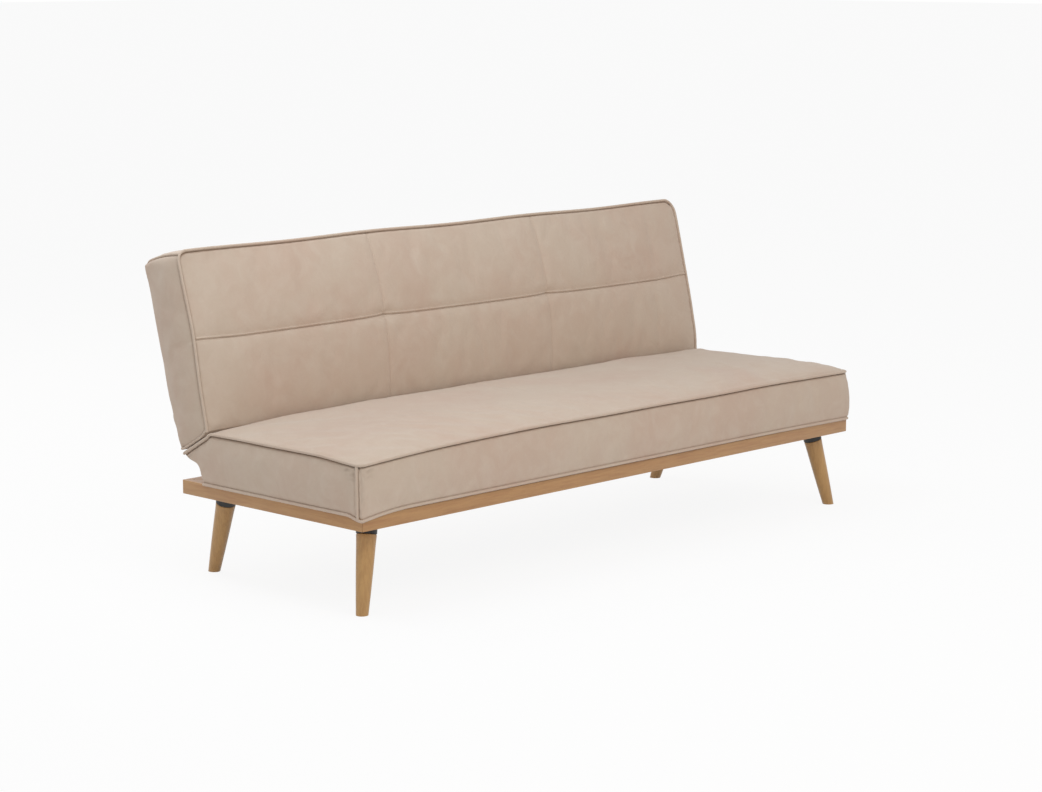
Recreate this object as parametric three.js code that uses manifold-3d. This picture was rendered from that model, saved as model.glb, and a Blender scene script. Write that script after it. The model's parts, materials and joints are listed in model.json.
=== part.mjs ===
// Click clack sofa bed: a padded bench on a mitred wooden frame with four splayed legs,
// and a padded back that folds down flat on two ratchet hinges.
// Millimetres, +Z up, +X along the seat, the sitter faces -Y. The origin is on the floor,
// under the middle of the whole sofa. Inside the model, y = 0 is the middle of the wooden frame.

import * as THREE from 'three';
import { mergeVertices } from 'three/addons/utils/BufferGeometryUtils.js';
import Module from 'manifold-3d';

const wasm = await Module();
wasm.setup();

// Clearances, shared by the whole part
const fitGap = 0.3;
const runningGap = 0.5;
const slotGap = 2;
const cutOverrun = 5;

// Wooden frame
const frameLength = 1800;
const frameDepth = 640;
const railWidth = 110;
const railThickness = 34;
const bearerWidth = 70;
const bearerShares = { left: -1 / 3, right: 1 / 3 };

// Legs, with their black collars and hanger bolts
const legHeight = 179.5;
const collarHeight = 23.5;
const legTopRadius = 24;
const legFootRadius = 14.5;
const collarRadius = 24.5;
const legEdge = 1.5;
const legWaistShare = 0.45;
const legShoulderShare = 0.85;
const frontLeg = { topInsetX: 69, topInsetY: 61, footInsetX: 29, footInsetY: 35 };
const rearLeg = { topInsetX: 70, topInsetY: 77, footInsetX: 79, footInsetY: 17 };
const legBoltRadius = 4;
const legBoltDepth = 38;
const legBoltRise = 22;

// Seat cushion
const seatOverhang = 2;
const skirtDrop = 4;
const seatThickness = 118.7;
const seatCrown = 31;
const seatSeamArch = 14;
const seatEndArch = 7;
const seatTopSetback = 7;
const seatFrontBulge = 8;
const seatSideBulge = 14;
const bevelStartY = 213;
const noseTipY = 309;
const noseTipDrop = 53.7;
const noseRootY = 257;
const noseRootDrop = 71.7;
const seatRearY = 237;
const coverThickness = 9;
const pipingRadius = 3.7;

// What the seat cushion holds
const seatFramePadding = 14;
const seatFrameRearY = 220;
const seatFrameHeight = 45;
const beamThickness = 24;
const coverFlange = 60;
const dustSheetThickness = 2;
const springWireRadius = 1.75;
const springCount = 4;
const springLoopWidth = 46;
const springLoopPitch = 52;

// Back cushion, upright
const backLean = THREE.MathUtils.degToRad(11.2);
const backHeight = 432;
const backTopFall = 11;
const backTopCrown = 4;
const backThicknessTop = 143;
const backThicknessFoot = 121;
const backEdgeBow = 12;
const backCrown = 21;
const backSideBulge = 12;
const backRearBulge = 4;
const backRise = 68.8;
const backHeelRadius = 9;
const backPipingStart = 9;
const seamHeight = 222;
const seamDepth = 6;
const tuftDepth = 9;
const seamHalfWidth = 20;
const backPanels = 3;

// What the back cushion holds
const stileDepth = 38;
const stileFoot = 84;
const stileHeadRoom = 32.8;
const backRailHeight = 40;
const strapWidth = 60;
const strapThickness = 2;

// Ratchet hinges
const pivotY = 279;
const pivotDrop = 69.7;
const hingeInset = 120;
const plateThickness = 3;
const sectorRadius = 24;
const notchDepth = 4;
const notchWidth = 7;
const relaxAngle = THREE.MathUtils.degToRad(30);
const releaseAngle = THREE.MathUtils.degToRad(-5);
const bracketWidth = 36;
const flangeWidth = 30;
const flangeLength = 62;
const rivetRadius = 5;
const rivetHeadRadius = 8;
const rivetHeadThickness = 2.5;
const armHubRadius = 15;
const armFront = 10;
const armRear = 26;
const armLength = 180;
const screwRadius = 2.2;
const screwHeadRadius = 4.5;
const screwHeadThickness = 2;
const screwLength = 24;
const screwSpacing = 40;
const pawlPinRadius = 3;
const pawlPinHeadRadius = 4;
const pawlPinReach = 36;
const pawlPinAngle = THREE.MathUtils.degToRad(75);
const pawlToothAngle = THREE.MathUtils.degToRad(110);
const pawlHubRadius = 5.5;
const pawlArmWidth = 4;
const pawlToothWidth = 3.6;
const pawlToothHeight = 4;
const leafThickness = 0.8;
const leafLength = 19;

// Values worked out from the driving ones
const halfLength = frameLength / 2;
const halfDepth = frameDepth / 2;
const frameBottomZ = legHeight + collarHeight;
const frameTopZ = frameBottomZ + railThickness;
const seatHeight = frameTopZ + seatThickness;
const noseTipZ = seatHeight - noseTipDrop;
const noseRootZ = seatHeight - noseRootDrop;
const pivotZ = seatHeight - pivotDrop;
const hingeX = halfLength - hingeInset;
const seatHalf = halfLength + seatOverhang;
const seatFrontY = -(halfDepth + seatOverhang);
const seatFootZ = frameTopZ - skirtDrop;
const backHalf = halfLength;
const seamX = backHalf / backPanels;
const flatAngle = Math.PI / 2 - backLean;
const pipingOffset = pipingRadius + fitGap;

const materials = {
  fabric: new THREE.MeshStandardMaterial({ color: 0xbdab98, roughness: 0.92, metalness: 0 }),
  foam: new THREE.MeshStandardMaterial({ color: 0xe6dcae, roughness: 0.95, metalness: 0 }),
  frameWood: new THREE.MeshStandardMaterial({ color: 0xb4875a, roughness: 0.5, metalness: 0 }),
  legWood: new THREE.MeshStandardMaterial({ color: 0xb8935f, roughness: 0.45, metalness: 0 }),
  pine: new THREE.MeshStandardMaterial({ color: 0xd9bd8b, roughness: 0.7, metalness: 0 }),
  blackPlastic: new THREE.MeshStandardMaterial({ color: 0x232221, roughness: 0.5, metalness: 0 }),
  blackSheet: new THREE.MeshStandardMaterial({ color: 0x2b2a29, roughness: 0.95, metalness: 0 }),
  webbing: new THREE.MeshStandardMaterial({ color: 0x3a3836, roughness: 0.9, metalness: 0 }),
  steel: new THREE.MeshStandardMaterial({ color: 0xa9aaac, roughness: 0.35, metalness: 0.9 }),
  springSteel: new THREE.MeshStandardMaterial({ color: 0x5b5d60, roughness: 0.4, metalness: 0.85 }),
};

const sofa = new THREE.Group();
const base = new THREE.Group();
const back = new THREE.Group();
back.position.set(0, pivotY, pivotZ);
back.rotation.x = -backLean;
sofa.add(base, back);

// Shared helpers

function place(parent, name, geometry, material, position = [0, 0, 0]) {
  const mesh = new THREE.Mesh(geometry, material);
  mesh.name = name;
  mesh.position.set(...position);
  parent.add(mesh);
  return mesh;
}

function toSolid(geometry) {
  const bare = geometry.clone();
  bare.deleteAttribute('normal');
  bare.deleteAttribute('uv');
  const merged = mergeVertices(bare);
  const vertProperties = new Float32Array(merged.attributes.position.array);
  const triVerts = new Uint32Array(merged.index.array);
  return new wasm.Manifold(new wasm.Mesh({ numProp: 3, vertProperties, triVerts }));
}

function toGeometry(solid) {
  const mesh = solid.getMesh();
  const geometry = new THREE.BufferGeometry();
  geometry.setAttribute('position', new THREE.BufferAttribute(new Float32Array(mesh.vertProperties), 3));
  geometry.setIndex(new THREE.BufferAttribute(new Uint32Array(mesh.triVerts), 1));
  geometry.computeVertexNormals();
  return geometry;
}

// A block between two corners, given as ranges along X, Y and Z
function block([x0, x1], [y0, y1], [z0, z1]) {
  const geometry = new THREE.BoxGeometry(x1 - x0, y1 - y0, z1 - z0);
  return geometry.translate((x0 + x1) / 2, (y0 + y1) / 2, (z0 + z1) / 2);
}

// A plate cut from an outline in the Y-Z plane, standing on X from x0 to x0 + thickness
function plateFromOutline(shape, x0, thickness, curveSegments = 6) {
  const settings = { depth: thickness, bevelEnabled: false, curveSegments };
  const geometry = new THREE.ExtrudeGeometry(shape, settings);
  const turn = new THREE.Matrix4().makeBasis(
    new THREE.Vector3(0, 1, 0),
    new THREE.Vector3(0, 0, 1),
    new THREE.Vector3(1, 0, 0),
  );
  return geometry.applyMatrix4(turn).translate(x0, 0, 0);
}

// A cylinder along X from x0 to x1
function rodAlongX(radius, x0, x1, segments = 16) {
  const geometry = new THREE.CylinderGeometry(radius, radius, x1 - x0, segments);
  return geometry.rotateZ(Math.PI / 2).translate((x0 + x1) / 2, 0, 0);
}

// A curve that meets each of its points at an even step, so that a tube bends where they are
class PointCurve extends THREE.Curve {
  constructor(points) {
    super();
    this.points = points;
  }

  getPoint(t, target = new THREE.Vector3()) {
    const span = Math.min(Math.max(t, 0), 1) * (this.points.length - 1);
    const index = Math.min(Math.floor(span), this.points.length - 2);
    return target.lerpVectors(this.points[index], this.points[index + 1], span - index);
  }

  getPointAt(u, target) {
    return this.getPoint(u, target);
  }

  getTangentAt(u, target) {
    return this.getTangent(u, target);
  }
}

function tubeThrough(points, radius, sides) {
  const section = new THREE.Shape();
  for (let i = 0; i < sides; i += 1) {
    const angle = (i / sides) * 2 * Math.PI;
    const x = radius * Math.cos(angle);
    const y = radius * Math.sin(angle);
    if (i === 0) section.moveTo(x, y);
    else section.lineTo(x, y);
  }
  section.closePath();
  const settings = { steps: points.length - 1, bevelEnabled: false, extrudePath: new PointCurve(points) };
  return new THREE.ExtrudeGeometry(section, settings);
}

// Turned pieces about their own Z axis, from radius and height pairs

function turned(profile, segments) {
  const points = profile.map(([radius, height]) => new THREE.Vector2(radius, height));
  return new THREE.LatheGeometry(points, segments).rotateX(Math.PI / 2);
}

// Cushions
// A cushion is a stack of rings along X. Each ring is the section outline, moved by what the
// cushion does at that station. Past the end rings the outline shrinks to the bulged end's middle.
const endShares = [0.93, 0.72, 0.4];
const endCurveShare = 3;

function cushion({ section, centre, half, bulge, stations, move }) {
  const rings = [];
  const endRing = (side, share) => ({
    x: side * (half + bulge * (1 - share ** endCurveShare)),
    points: section.map((p) => [
      centre[0] + (p.y - centre[0]) * share,
      centre[1] + (p.z - centre[1]) * share,
    ]),
  });
  [...endShares].reverse().forEach((share) => rings.push(endRing(-1, share)));
  stations.forEach((x) => rings.push({ x, points: section.map((p) => move(p, x)) }));
  endShares.forEach((share) => rings.push(endRing(1, share)));

  const positions = [];
  rings.forEach((ring) => ring.points.forEach(([y, z]) => positions.push(ring.x, y, z)));
  const count = section.length;
  const faces = [];
  for (let i = 0; i < rings.length - 1; i += 1) {
    for (let j = 0; j < count; j += 1) {
      const a = i * count + j;
      const b = i * count + ((j + 1) % count);
      faces.push(a, b, a + count, b, b + count, a + count);
    }
  }
  const firstPole = positions.length / 3;
  positions.push(-(half + bulge), ...centre, half + bulge, ...centre);
  const lastRing = (rings.length - 1) * count;
  for (let j = 0; j < count; j += 1) {
    const next = (j + 1) % count;
    faces.push(next, j, firstPole, lastRing + j, lastRing + next, firstPole + 1);
  }
  const geometry = new THREE.BufferGeometry();
  geometry.setAttribute('position', new THREE.Float32BufferAttribute(positions, 3));
  geometry.setIndex(faces);
  return geometry;
}

// The same outline a set distance further in, keeping only the points marked core
function insetSection(section, distance) {
  const kept = section.filter((p) => p.core);
  return kept.map((p, i) => {
    const before = kept[(i + kept.length - 1) % kept.length];
    const after = kept[(i + 1) % kept.length];
    const edgeIn = new THREE.Vector2(p.y - before.y, p.z - before.z).normalize();
    const edgeOut = new THREE.Vector2(after.y - p.y, after.z - p.z).normalize();
    const inward = new THREE.Vector2(-edgeIn.y - edgeOut.y, edgeIn.x + edgeOut.x).normalize();
    const reach = distance / Math.max(inward.dot(new THREE.Vector2(-edgeIn.y, edgeIn.x)), 0.5);
    return { ...p, y: p.y + inward.x * reach, z: p.z + inward.y * reach };
  });
}

// Stations along a cushion: close together at its ends, where the crown rises
const softStationShares = [1, 0.975, 0.88, 0.66, 0.4, 0.13];
const firmStationShares = [1, 0.992, 0.975, 0.93, 0.78, 0.45, 0.15];
const softPower = 5;
const firmPower = 28;

function evenStations(shares, half) {
  const right = shares.map((share) => share * half);
  return [...right.map((x) => -x), ...right.reverse()];
}

function softRise(x, half) {
  return 1 - Math.abs(x / half) ** softPower;
}

// The same for a firmer cushion, which rolls over steeply at its ends
function firmRise(x, half) {
  return Math.sqrt(Math.max(1 - Math.abs(x / half) ** firmPower, 0));
}

// Wooden frame: four mitred rails and two bearers between them

const mitreGap = fitGap / Math.SQRT2;

function railGeometry(length, width, outerShift) {
  const half = length / 2 - outerShift;
  const inner = half - width;
  const shape = new THREE.Shape();
  shape.moveTo(-half, 0);
  shape.lineTo(half, 0);
  shape.lineTo(inner, width);
  shape.lineTo(-inner, width);
  shape.closePath();
  const geometry = new THREE.ExtrudeGeometry(shape, { depth: railThickness, bevelEnabled: false });
  return geometry.translate(0, 0, frameBottomZ);
}

function cutRail(geometry, cutters) {
  let solid = toSolid(geometry);
  cutters.forEach((cutter) => {
    solid = solid.subtract(toSolid(cutter));
  });
  return toGeometry(solid);
}

function addRail(name, geometry, turn, cutters) {
  geometry.rotateZ(turn);
  place(base, name, cutRail(geometry, cutters), materials.frameWood);
}

// Legs

function legAxis(inset, sideX, sideY) {
  const top = new THREE.Vector3(
    sideX * (halfLength - inset.topInsetX),
    sideY * (halfDepth - inset.topInsetY),
    legHeight,
  );
  const foot = new THREE.Vector3(
    sideX * (halfLength - inset.footInsetX),
    sideY * (halfDepth - inset.footInsetY),
    0,
  );
  const direction = top.clone().sub(foot).normalize();
  const turn = new THREE.Quaternion().setFromUnitVectors(new THREE.Vector3(0, 0, 1), direction);
  return { foot, turn, length: top.distanceTo(foot) };
}

function alongLeg(geometry, axis, distance) {
  const start = axis.foot.clone().add(new THREE.Vector3(0, 0, distance).applyQuaternion(axis.turn));
  const matrix = new THREE.Matrix4().compose(start, axis.turn, new THREE.Vector3(1, 1, 1));
  return geometry.applyMatrix4(matrix);
}

function legGeometry(axis) {
  const waistRadius = legFootRadius + (legTopRadius - legFootRadius) * legWaistShare;
  const boreRadius = legBoltRadius + fitGap;
  const profile = [
    [0, -legFootRadius],
    [legFootRadius, -legFootRadius],
    [legFootRadius, 0],
    [waistRadius, axis.length / 2],
    [legTopRadius - legEdge, axis.length * legShoulderShare],
    [legTopRadius, axis.length - legEdge],
    [legTopRadius - legEdge, axis.length],
    [boreRadius, axis.length],
    [boreRadius, axis.length - legBoltDepth - fitGap],
    [0, axis.length - legBoltDepth - fitGap],
  ];
  const whole = toSolid(alongLeg(turned(profile, 20), axis, 0));
  const reach = legTopRadius * 2;
  const under = block(
    [axis.foot.x - reach, axis.foot.x + reach],
    [axis.foot.y - reach, axis.foot.y + reach],
    [-reach, 0],
  );
  return toGeometry(whole.subtract(toSolid(under)));
}

function collarGeometry(axis) {
  const boreRadius = legBoltRadius + fitGap;
  const height = collarHeight * 2;
  const profile = [
    [boreRadius, 0],
    [collarRadius - legEdge, 0],
    [collarRadius, legEdge],
    [collarRadius, height],
    [boreRadius, height],
    [boreRadius, 0],
  ];
  const whole = toSolid(alongLeg(turned(profile, 20), axis, axis.length + fitGap));
  const reach = collarRadius * 6;
  const above = block(
    [axis.foot.x - reach, axis.foot.x + reach],
    [axis.foot.y - reach, axis.foot.y + reach],
    [frameBottomZ - fitGap, frameTopZ + reach],
  );
  return toGeometry(whole.subtract(toSolid(above)));
}

function legBoltGeometry(axis, extra) {
  const length = legBoltDepth + collarHeight + legBoltRise;
  const profile = [
    [0, -extra],
    [legBoltRadius + extra, -extra],
    [legBoltRadius + extra, length + extra],
    [0, length + extra],
  ];
  return alongLeg(turned(profile, 12), axis, axis.length - legBoltDepth);
}

const legAxes = {
  front_left: legAxis(frontLeg, -1, -1),
  front_right: legAxis(frontLeg, 1, -1),
  rear_left: legAxis(rearLeg, -1, 1),
  rear_right: legAxis(rearLeg, 1, 1),
};

function addLegs() {
  Object.entries(legAxes).forEach(([corner, axis]) => {
    place(base, `leg_${corner}`, legGeometry(axis), materials.legWood);
    place(base, `leg_collar_${corner}`, collarGeometry(axis), materials.blackPlastic);
    place(base, `leg_bolt_${corner}`, legBoltGeometry(axis, 0), materials.steel);
  });
}

// The bracket screws go down into the rear rail
const flangeX = { inner: hingeX - plateThickness - flangeWidth, outer: hingeX };
const screwX = (flangeX.inner + flangeX.outer - plateThickness) / 2;
const flangeTopZ = frameTopZ + fitGap + plateThickness;
const screwPlaces = [-1, 1].flatMap((side) => [-1, 1].map((end) => ({
  name: `bracket_screw_${side < 0 ? 'left' : 'right'}_${end < 0 ? 'front' : 'rear'}`,
  position: [side * screwX, pivotY + (end * screwSpacing) / 2, flangeTopZ + fitGap],
})));

function screwGeometry(extra) {
  const profile = [
    [0, -screwLength - extra],
    [screwRadius + extra, -screwLength - extra],
    [screwRadius + extra, 0],
    [screwHeadRadius, 0],
    [screwHeadRadius, screwHeadThickness / 2],
    [screwHeadRadius / 2, screwHeadThickness],
    [0, screwHeadThickness],
  ];
  return turned(profile, 12);
}

function screwHole(position) {
  return screwGeometry(fitGap).translate(...position);
}

function addFrame() {
  const boltHoles = Object.values(legAxes).map((axis) => legBoltGeometry(axis, fitGap));
  const screwHoles = screwPlaces.map(({ position }) => screwHole(position));
  const longRail = () => railGeometry(frameLength, railWidth, mitreGap).translate(0, -halfDepth, 0);
  const endRail = () => railGeometry(frameDepth, railWidth, mitreGap).translate(0, -halfLength, 0);
  addRail('front_rail', longRail(), 0, boltHoles);
  addRail('rear_rail', longRail(), Math.PI, [...boltHoles, ...screwHoles]);
  addRail('left_end_rail', endRail(), -Math.PI / 2, boltHoles);
  addRail('right_end_rail', endRail(), Math.PI / 2, boltHoles);
  const bearerEnd = halfDepth - railWidth - fitGap;
  Object.entries(bearerShares).forEach(([side, share]) => {
    const bearer = block(
      [-bearerWidth / 2, bearerWidth / 2],
      [-bearerEnd, bearerEnd],
      [frameBottomZ, frameTopZ],
    );
    place(base, `cross_bearer_${side}`, bearer, materials.frameWood, [share * halfLength, 0, 0]);
  });
}

// Seat cushion
// The section runs round from the front foot: rear foot, nose, slope, top, front.
// seamShare is how much of the piped edge's arch a point takes, crownShare how much of the crown
// above that edge, and bulgeShare how much of the front bulge.

const seatDepth = bevelStartY - seatFrontY;
const seatTopFrontY = seatFrontY + seatTopSetback;
const seatRise = seatHeight - seatFootZ;
const noseBackShare = 0.6;
const noseUnderShares = [0.58, 0.4];
const slopeShares = [0.06, 0.13];
const seatFaceShares = [[0.8, 0.75], [0.45, 1], [0.15, 0.5]];
const seatCentreShares = [0.52, 0.52];
const seatCoreShares = [0.955, 0.5, 0.09];
const seatTopShares = [
  [0.99, 0.58, 1], [0.98, 0.86, 1], [seatCoreShares[0], 1, 1], [0.74, 1, 1], [seatCoreShares[1], 1, 1],
  [0.26, 1, 0.97], [seatCoreShares[2], 1, 0.7], [0.03, 1, 0.4],
];
const endArchShare = 0.25;
const seatSection = [
  { y: seatFrontY, z: seatFootZ, core: true },
  { y: seatRearY, z: seatFootZ, core: true },
  {
    y: seatRearY + (noseRootY - seatRearY) * noseBackShare,
    z: seatFootZ + (noseRootZ - seatFootZ) * noseBackShare,
  },
  { y: noseRootY, z: noseRootZ, core: true },
  {
    y: noseRootY + (noseTipY - noseRootY) * noseUnderShares[0],
    z: noseRootZ + (noseTipZ - noseRootZ) * noseUnderShares[1],
  },
  { y: noseTipY, z: noseTipZ, core: true },
  {
    y: (noseTipY + bevelStartY) / 2,
    z: (noseTipZ + seatHeight) / 2,
    seamShare: slopeShares[0],
    crownShare: 1,
  },
  { y: bevelStartY, z: seatHeight, seamShare: slopeShares[1], crownShare: 1, core: true },
  ...seatTopShares.map(([depthShare, seamShare, crownShare]) => ({
    y: seatFrontY + seatDepth * depthShare,
    z: seatHeight,
    depthShare,
    seamShare,
    crownShare,
    core: seatCoreShares.includes(depthShare),
  })),
  { y: seatTopFrontY, z: seatHeight, depthShare: 0, seamShare: 1, core: true },
  ...seatFaceShares.map(([heightShare, bulgeShare]) => ({
    y: seatFrontY + seatTopSetback * heightShare,
    z: seatFootZ + seatRise * heightShare,
    bulgeShare,
  })),
];
const seatCentre = [
  seatFrontY + seatDepth * seatCentreShares[0],
  seatFootZ + seatRise * seatCentreShares[1],
];

// How far the piped edge stands above its corners
function seatEdgeRise(x, depthShare) {
  const middle = softRise(x, seatHalf);
  const end = Math.min(depthShare / endArchShare, 1);
  return seatEndArch * end * (1 - middle) + seatSeamArch * middle;
}

function seatMove(p, x) {
  const lift = firmRise(x, seatHalf);
  const crown = (p.crownShare ?? 0) * (seatCrown - seatSeamArch) * lift;
  const y = p.y - (p.bulgeShare ?? 0) * seatFrontBulge * lift;
  const z = p.z + (p.seamShare ?? 0) * (seatEdgeRise(x, p.depthShare ?? 1) + crown);
  return [y, z];
}

function seatForm(distance) {
  const inner = distance > 0;
  return cushion({
    section: inner ? insetSection(seatSection, distance) : seatSection,
    centre: seatCentre,
    half: seatHalf - distance,
    bulge: inner ? seatSideBulge / 2 : seatSideBulge,
    stations: evenStations(firmStationShares, seatHalf - distance),
    move: seatMove,
  });
}

// Space for a hinge: a slot through the nose of the seat
const slotX = {
  inner: hingeX - plateThickness - rivetHeadThickness - 2 * slotGap,
  outer: hingeX + plateThickness + rivetHeadThickness + 2 * fitGap + 2 * slotGap,
};
const slotFrontY = pivotY - sectorRadius - slotGap;

function hingeSlots(extra) {
  return [-1, 1].map((side) => toSolid(block(
    side < 0 ? [-slotX.outer - extra, -slotX.inner + extra] : [slotX.inner - extra, slotX.outer + extra],
    [slotFrontY - extra, noseTipY + cutOverrun],
    [frameBottomZ, seatHeight + seatCrown],
  )));
}

const seatFrameHalf = seatHalf - coverThickness - seatFramePadding;
const seatFrameFrontY = seatFrontY + coverThickness + seatFramePadding;
const seatFrameZ = frameTopZ + coverThickness + 2 * fitGap;
const seatFrameTopZ = seatFrameZ + seatFrameHeight;
const springZ = seatFrameTopZ + fitGap + springWireRadius;
const seatFoamFootZ = springZ + springWireRadius + fitGap;

function addSeatCover() {
  const onFrame = toSolid(block(
    [-halfLength - fitGap, halfLength + fitGap],
    [-halfDepth - fitGap, halfDepth + cutOverrun],
    [frameBottomZ - cutOverrun, frameTopZ + fitGap],
  ));
  const floorOpening = toSolid(block(
    [-seatHalf + coverFlange, seatHalf - coverFlange],
    [seatFrontY + coverFlange, seatRearY - coverFlange],
    [frameBottomZ, seatFrameTopZ],
  ));
  let cover = toSolid(seatForm(0)).subtract(onFrame);
  const inside = toSolid(seatForm(coverThickness));
  const floor = toSolid(block(
    [-seatHalf, seatHalf],
    [seatFrontY, seatRearY],
    [frameBottomZ, frameTopZ + fitGap + coverThickness],
  ));
  cover = cover.subtract(inside.subtract(floor)).subtract(floorOpening);
  hingeSlots(0).forEach((slot) => {
    cover = cover.subtract(slot);
  });
  place(base, 'seat_cover', toGeometry(cover), materials.fabric);
}

function addSeatFoam() {
  let foam = toSolid(seatForm(coverThickness + fitGap));
  const frameSpace = toSolid(block(
    [-seatFrameHalf - fitGap, seatFrameHalf + fitGap],
    [seatFrameFrontY - fitGap, seatFrameRearY + fitGap],
    [frameBottomZ, seatFoamFootZ],
  ));
  const under = toSolid(block(
    [-seatHalf, seatHalf],
    [seatFrontY, seatRearY + cutOverrun],
    [frameBottomZ, seatFrameZ],
  ));
  foam = foam.subtract(frameSpace).subtract(under);
  hingeSlots(fitGap).forEach((slot) => {
    foam = foam.subtract(slot);
  });
  place(base, 'seat_foam', toGeometry(foam), materials.foam);
}

function addSeatFrame() {
  const heights = [seatFrameZ, seatFrameTopZ];
  const full = [-seatFrameHalf, seatFrameHalf];
  const frontInner = seatFrameFrontY + beamThickness;
  const rearInner = seatFrameRearY - beamThickness;
  const between = [frontInner + fitGap, rearInner - fitGap];
  const left = [-seatFrameHalf, -seatFrameHalf + beamThickness];
  const right = [seatFrameHalf - beamThickness, seatFrameHalf];
  place(base, 'seat_frame_front', block(full, [seatFrameFrontY, frontInner], heights), materials.pine);
  place(base, 'seat_frame_rear', block(full, [rearInner, seatFrameRearY], heights), materials.pine);
  place(base, 'seat_frame_left', block(left, between, heights), materials.pine);
  place(base, 'seat_frame_right', block(right, between, heights), materials.pine);
}

// A zigzag spring runs over the seat frame from front to rear
function zigzagGeometry() {
  const front = seatFrameFrontY + beamThickness / 2;
  const rear = seatFrameRearY - beamThickness / 2;
  const loops = Math.round((rear - front) / springLoopPitch);
  const stepsPerLoop = 4;
  const points = [];
  for (let i = 0; i <= loops * stepsPerLoop; i += 1) {
    const phase = (i / stepsPerLoop) * 2 * Math.PI;
    const y = front + ((rear - front) * i) / (loops * stepsPerLoop);
    points.push(new THREE.Vector3((springLoopWidth / 2) * Math.sin(phase), y, 0));
  }
  return tubeThrough(points, springWireRadius, 5);
}

function addSeatSprings() {
  const spacing = (2 * seatFrameHalf) / springCount;
  for (let i = 0; i < springCount; i += 1) {
    const x = -seatFrameHalf + (i + 0.5) * spacing;
    place(base, `zigzag_spring_${i + 1}`, zigzagGeometry(), materials.springSteel, [x, 0, springZ]);
  }
}

function addSeatDustSheet() {
  const top = frameTopZ + fitGap + coverThickness;
  const sheet = block(
    [-seatHalf + coverFlange + fitGap, seatHalf - coverFlange - fitGap],
    [seatFrontY + coverFlange + fitGap, seatRearY - coverFlange - fitGap],
    [top - dustSheetThickness, top],
  );
  place(base, 'seat_dust_sheet', sheet, materials.blackSheet);
}

// Piping: a corded edge that stands on the seam, pushed out along the seam's own normal

function beside(point, outward) {
  return point.clone().add(outward.clone().normalize().multiplyScalar(pipingOffset));
}

function addSeatPiping() {
  const corner = new THREE.Vector3();
  const outward = new THREE.Vector3();
  const slope = new THREE.Vector2(seatHeight - noseTipZ, noseTipY - bevelStartY).normalize();
  const endRise = seatEdgeRise(seatHalf, 1);
  const middleZ = (noseTipZ + seatHeight) / 2 + slopeShares[0] * endRise;
  const bevelZ = seatHeight + slopeShares[1] * endRise;
  const side = (sign) => [
    beside(corner.set(sign * seatHalf, noseTipY, noseTipZ), outward.set(sign, slope.x, slope.y)),
    beside(
      corner.set(sign * seatHalf, (noseTipY + bevelStartY) / 2, middleZ),
      outward.set(sign, slope.x, slope.y),
    ),
    beside(corner.set(sign * seatHalf, bevelStartY, bevelZ), outward.set(sign, slope.x / 2, 1)),
    ...seatTopShares.map(([depthShare, seamShare]) => beside(
      corner.set(
        sign * seatHalf,
        seatFrontY + seatDepth * depthShare,
        seatHeight + seamShare * seatEdgeRise(seatHalf, depthShare),
      ),
      outward.set(sign, 0, 1),
    )),
    beside(corner.set(sign * seatHalf, seatTopFrontY, seatHeight), outward.set(sign, -1, 1)),
  ];
  const front = evenStations(firmStationShares, seatHalf).slice(1, -1).map((x) => beside(
    corner.set(x, seatTopFrontY, seatHeight + seatEdgeRise(x, 0)),
    outward.set(0, -1, 1),
  ));
  const top = [...side(-1), ...front, ...side(1).reverse()];
  place(base, 'seat_piping_top', tubeThrough(top, pipingRadius, 7), materials.fabric);

  const foot = [
    beside(corner.set(-seatHalf, seatRearY, seatFootZ), outward.set(-1, 0, -1)),
    beside(corner.set(-seatHalf, seatCentre[0], seatFootZ), outward.set(-1, 0, -1)),
    beside(corner.set(-seatHalf, seatFrontY, seatFootZ), outward.set(-1, -1, -1)),
    beside(corner.set(0, seatFrontY, seatFootZ), outward.set(0, -1, -1)),
    beside(corner.set(seatHalf, seatFrontY, seatFootZ), outward.set(1, -1, -1)),
    beside(corner.set(seatHalf, seatCentre[0], seatFootZ), outward.set(1, 0, -1)),
    beside(corner.set(seatHalf, seatRearY, seatFootZ), outward.set(1, 0, -1)),
  ];
  place(base, 'seat_piping_foot', tubeThrough(foot, pipingRadius, 7), materials.fabric);

  [['left', -1], ['right', 1]].forEach(([name, sign]) => {
    const ends = [
      [seatFrontY, seatFootZ + pipingOffset],
      [seatTopFrontY, seatHeight - pipingOffset],
    ].map(([y, z]) => beside(corner.set(sign * seatHalf, y, z), outward.set(sign, -1, 0)));
    place(base, `seat_piping_corner_${name}`, tubeThrough(ends, pipingRadius, 7), materials.fabric);
  });
}

// Back cushion, in its own frame: z runs up the back, y through it, and the pivot is the origin.
// Its foot is hollowed round the pivot, so that it swings clear of the seat's nose.

const backFrontY = -pivotDrop;
const backRearY = (height) => backFrontY + backThicknessFoot
  + (backThicknessTop - backThicknessFoot) * (height / backHeight);
const noseReach = Math.hypot(noseTipY - pivotY, noseTipZ - pivotZ) + 2 * pipingOffset;
const hollowRadius = noseReach + runningGap;
const hollowAngles = [98, 80, 63, 47].map(THREE.MathUtils.degToRad);
const seamShare = seamHeight / backHeight;
const seamReachShare = seamHalfWidth / backHeight;
const sewnShares = [seamShare + seamReachShare, seamShare, seamShare - seamReachShare];
const frontCoreShares = [0.76, 0.26];
const frontShares = [0.9, frontCoreShares[0], 0.65, ...sewnShares, 0.38, frontCoreShares[1], 0.12];
const rearCoreShares = [0.08, 0.6];
const rearShares = [rearCoreShares[0], 0.3, rearCoreShares[1], 0.85];
const backCentreShares = [0.52, 0.5];

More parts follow.
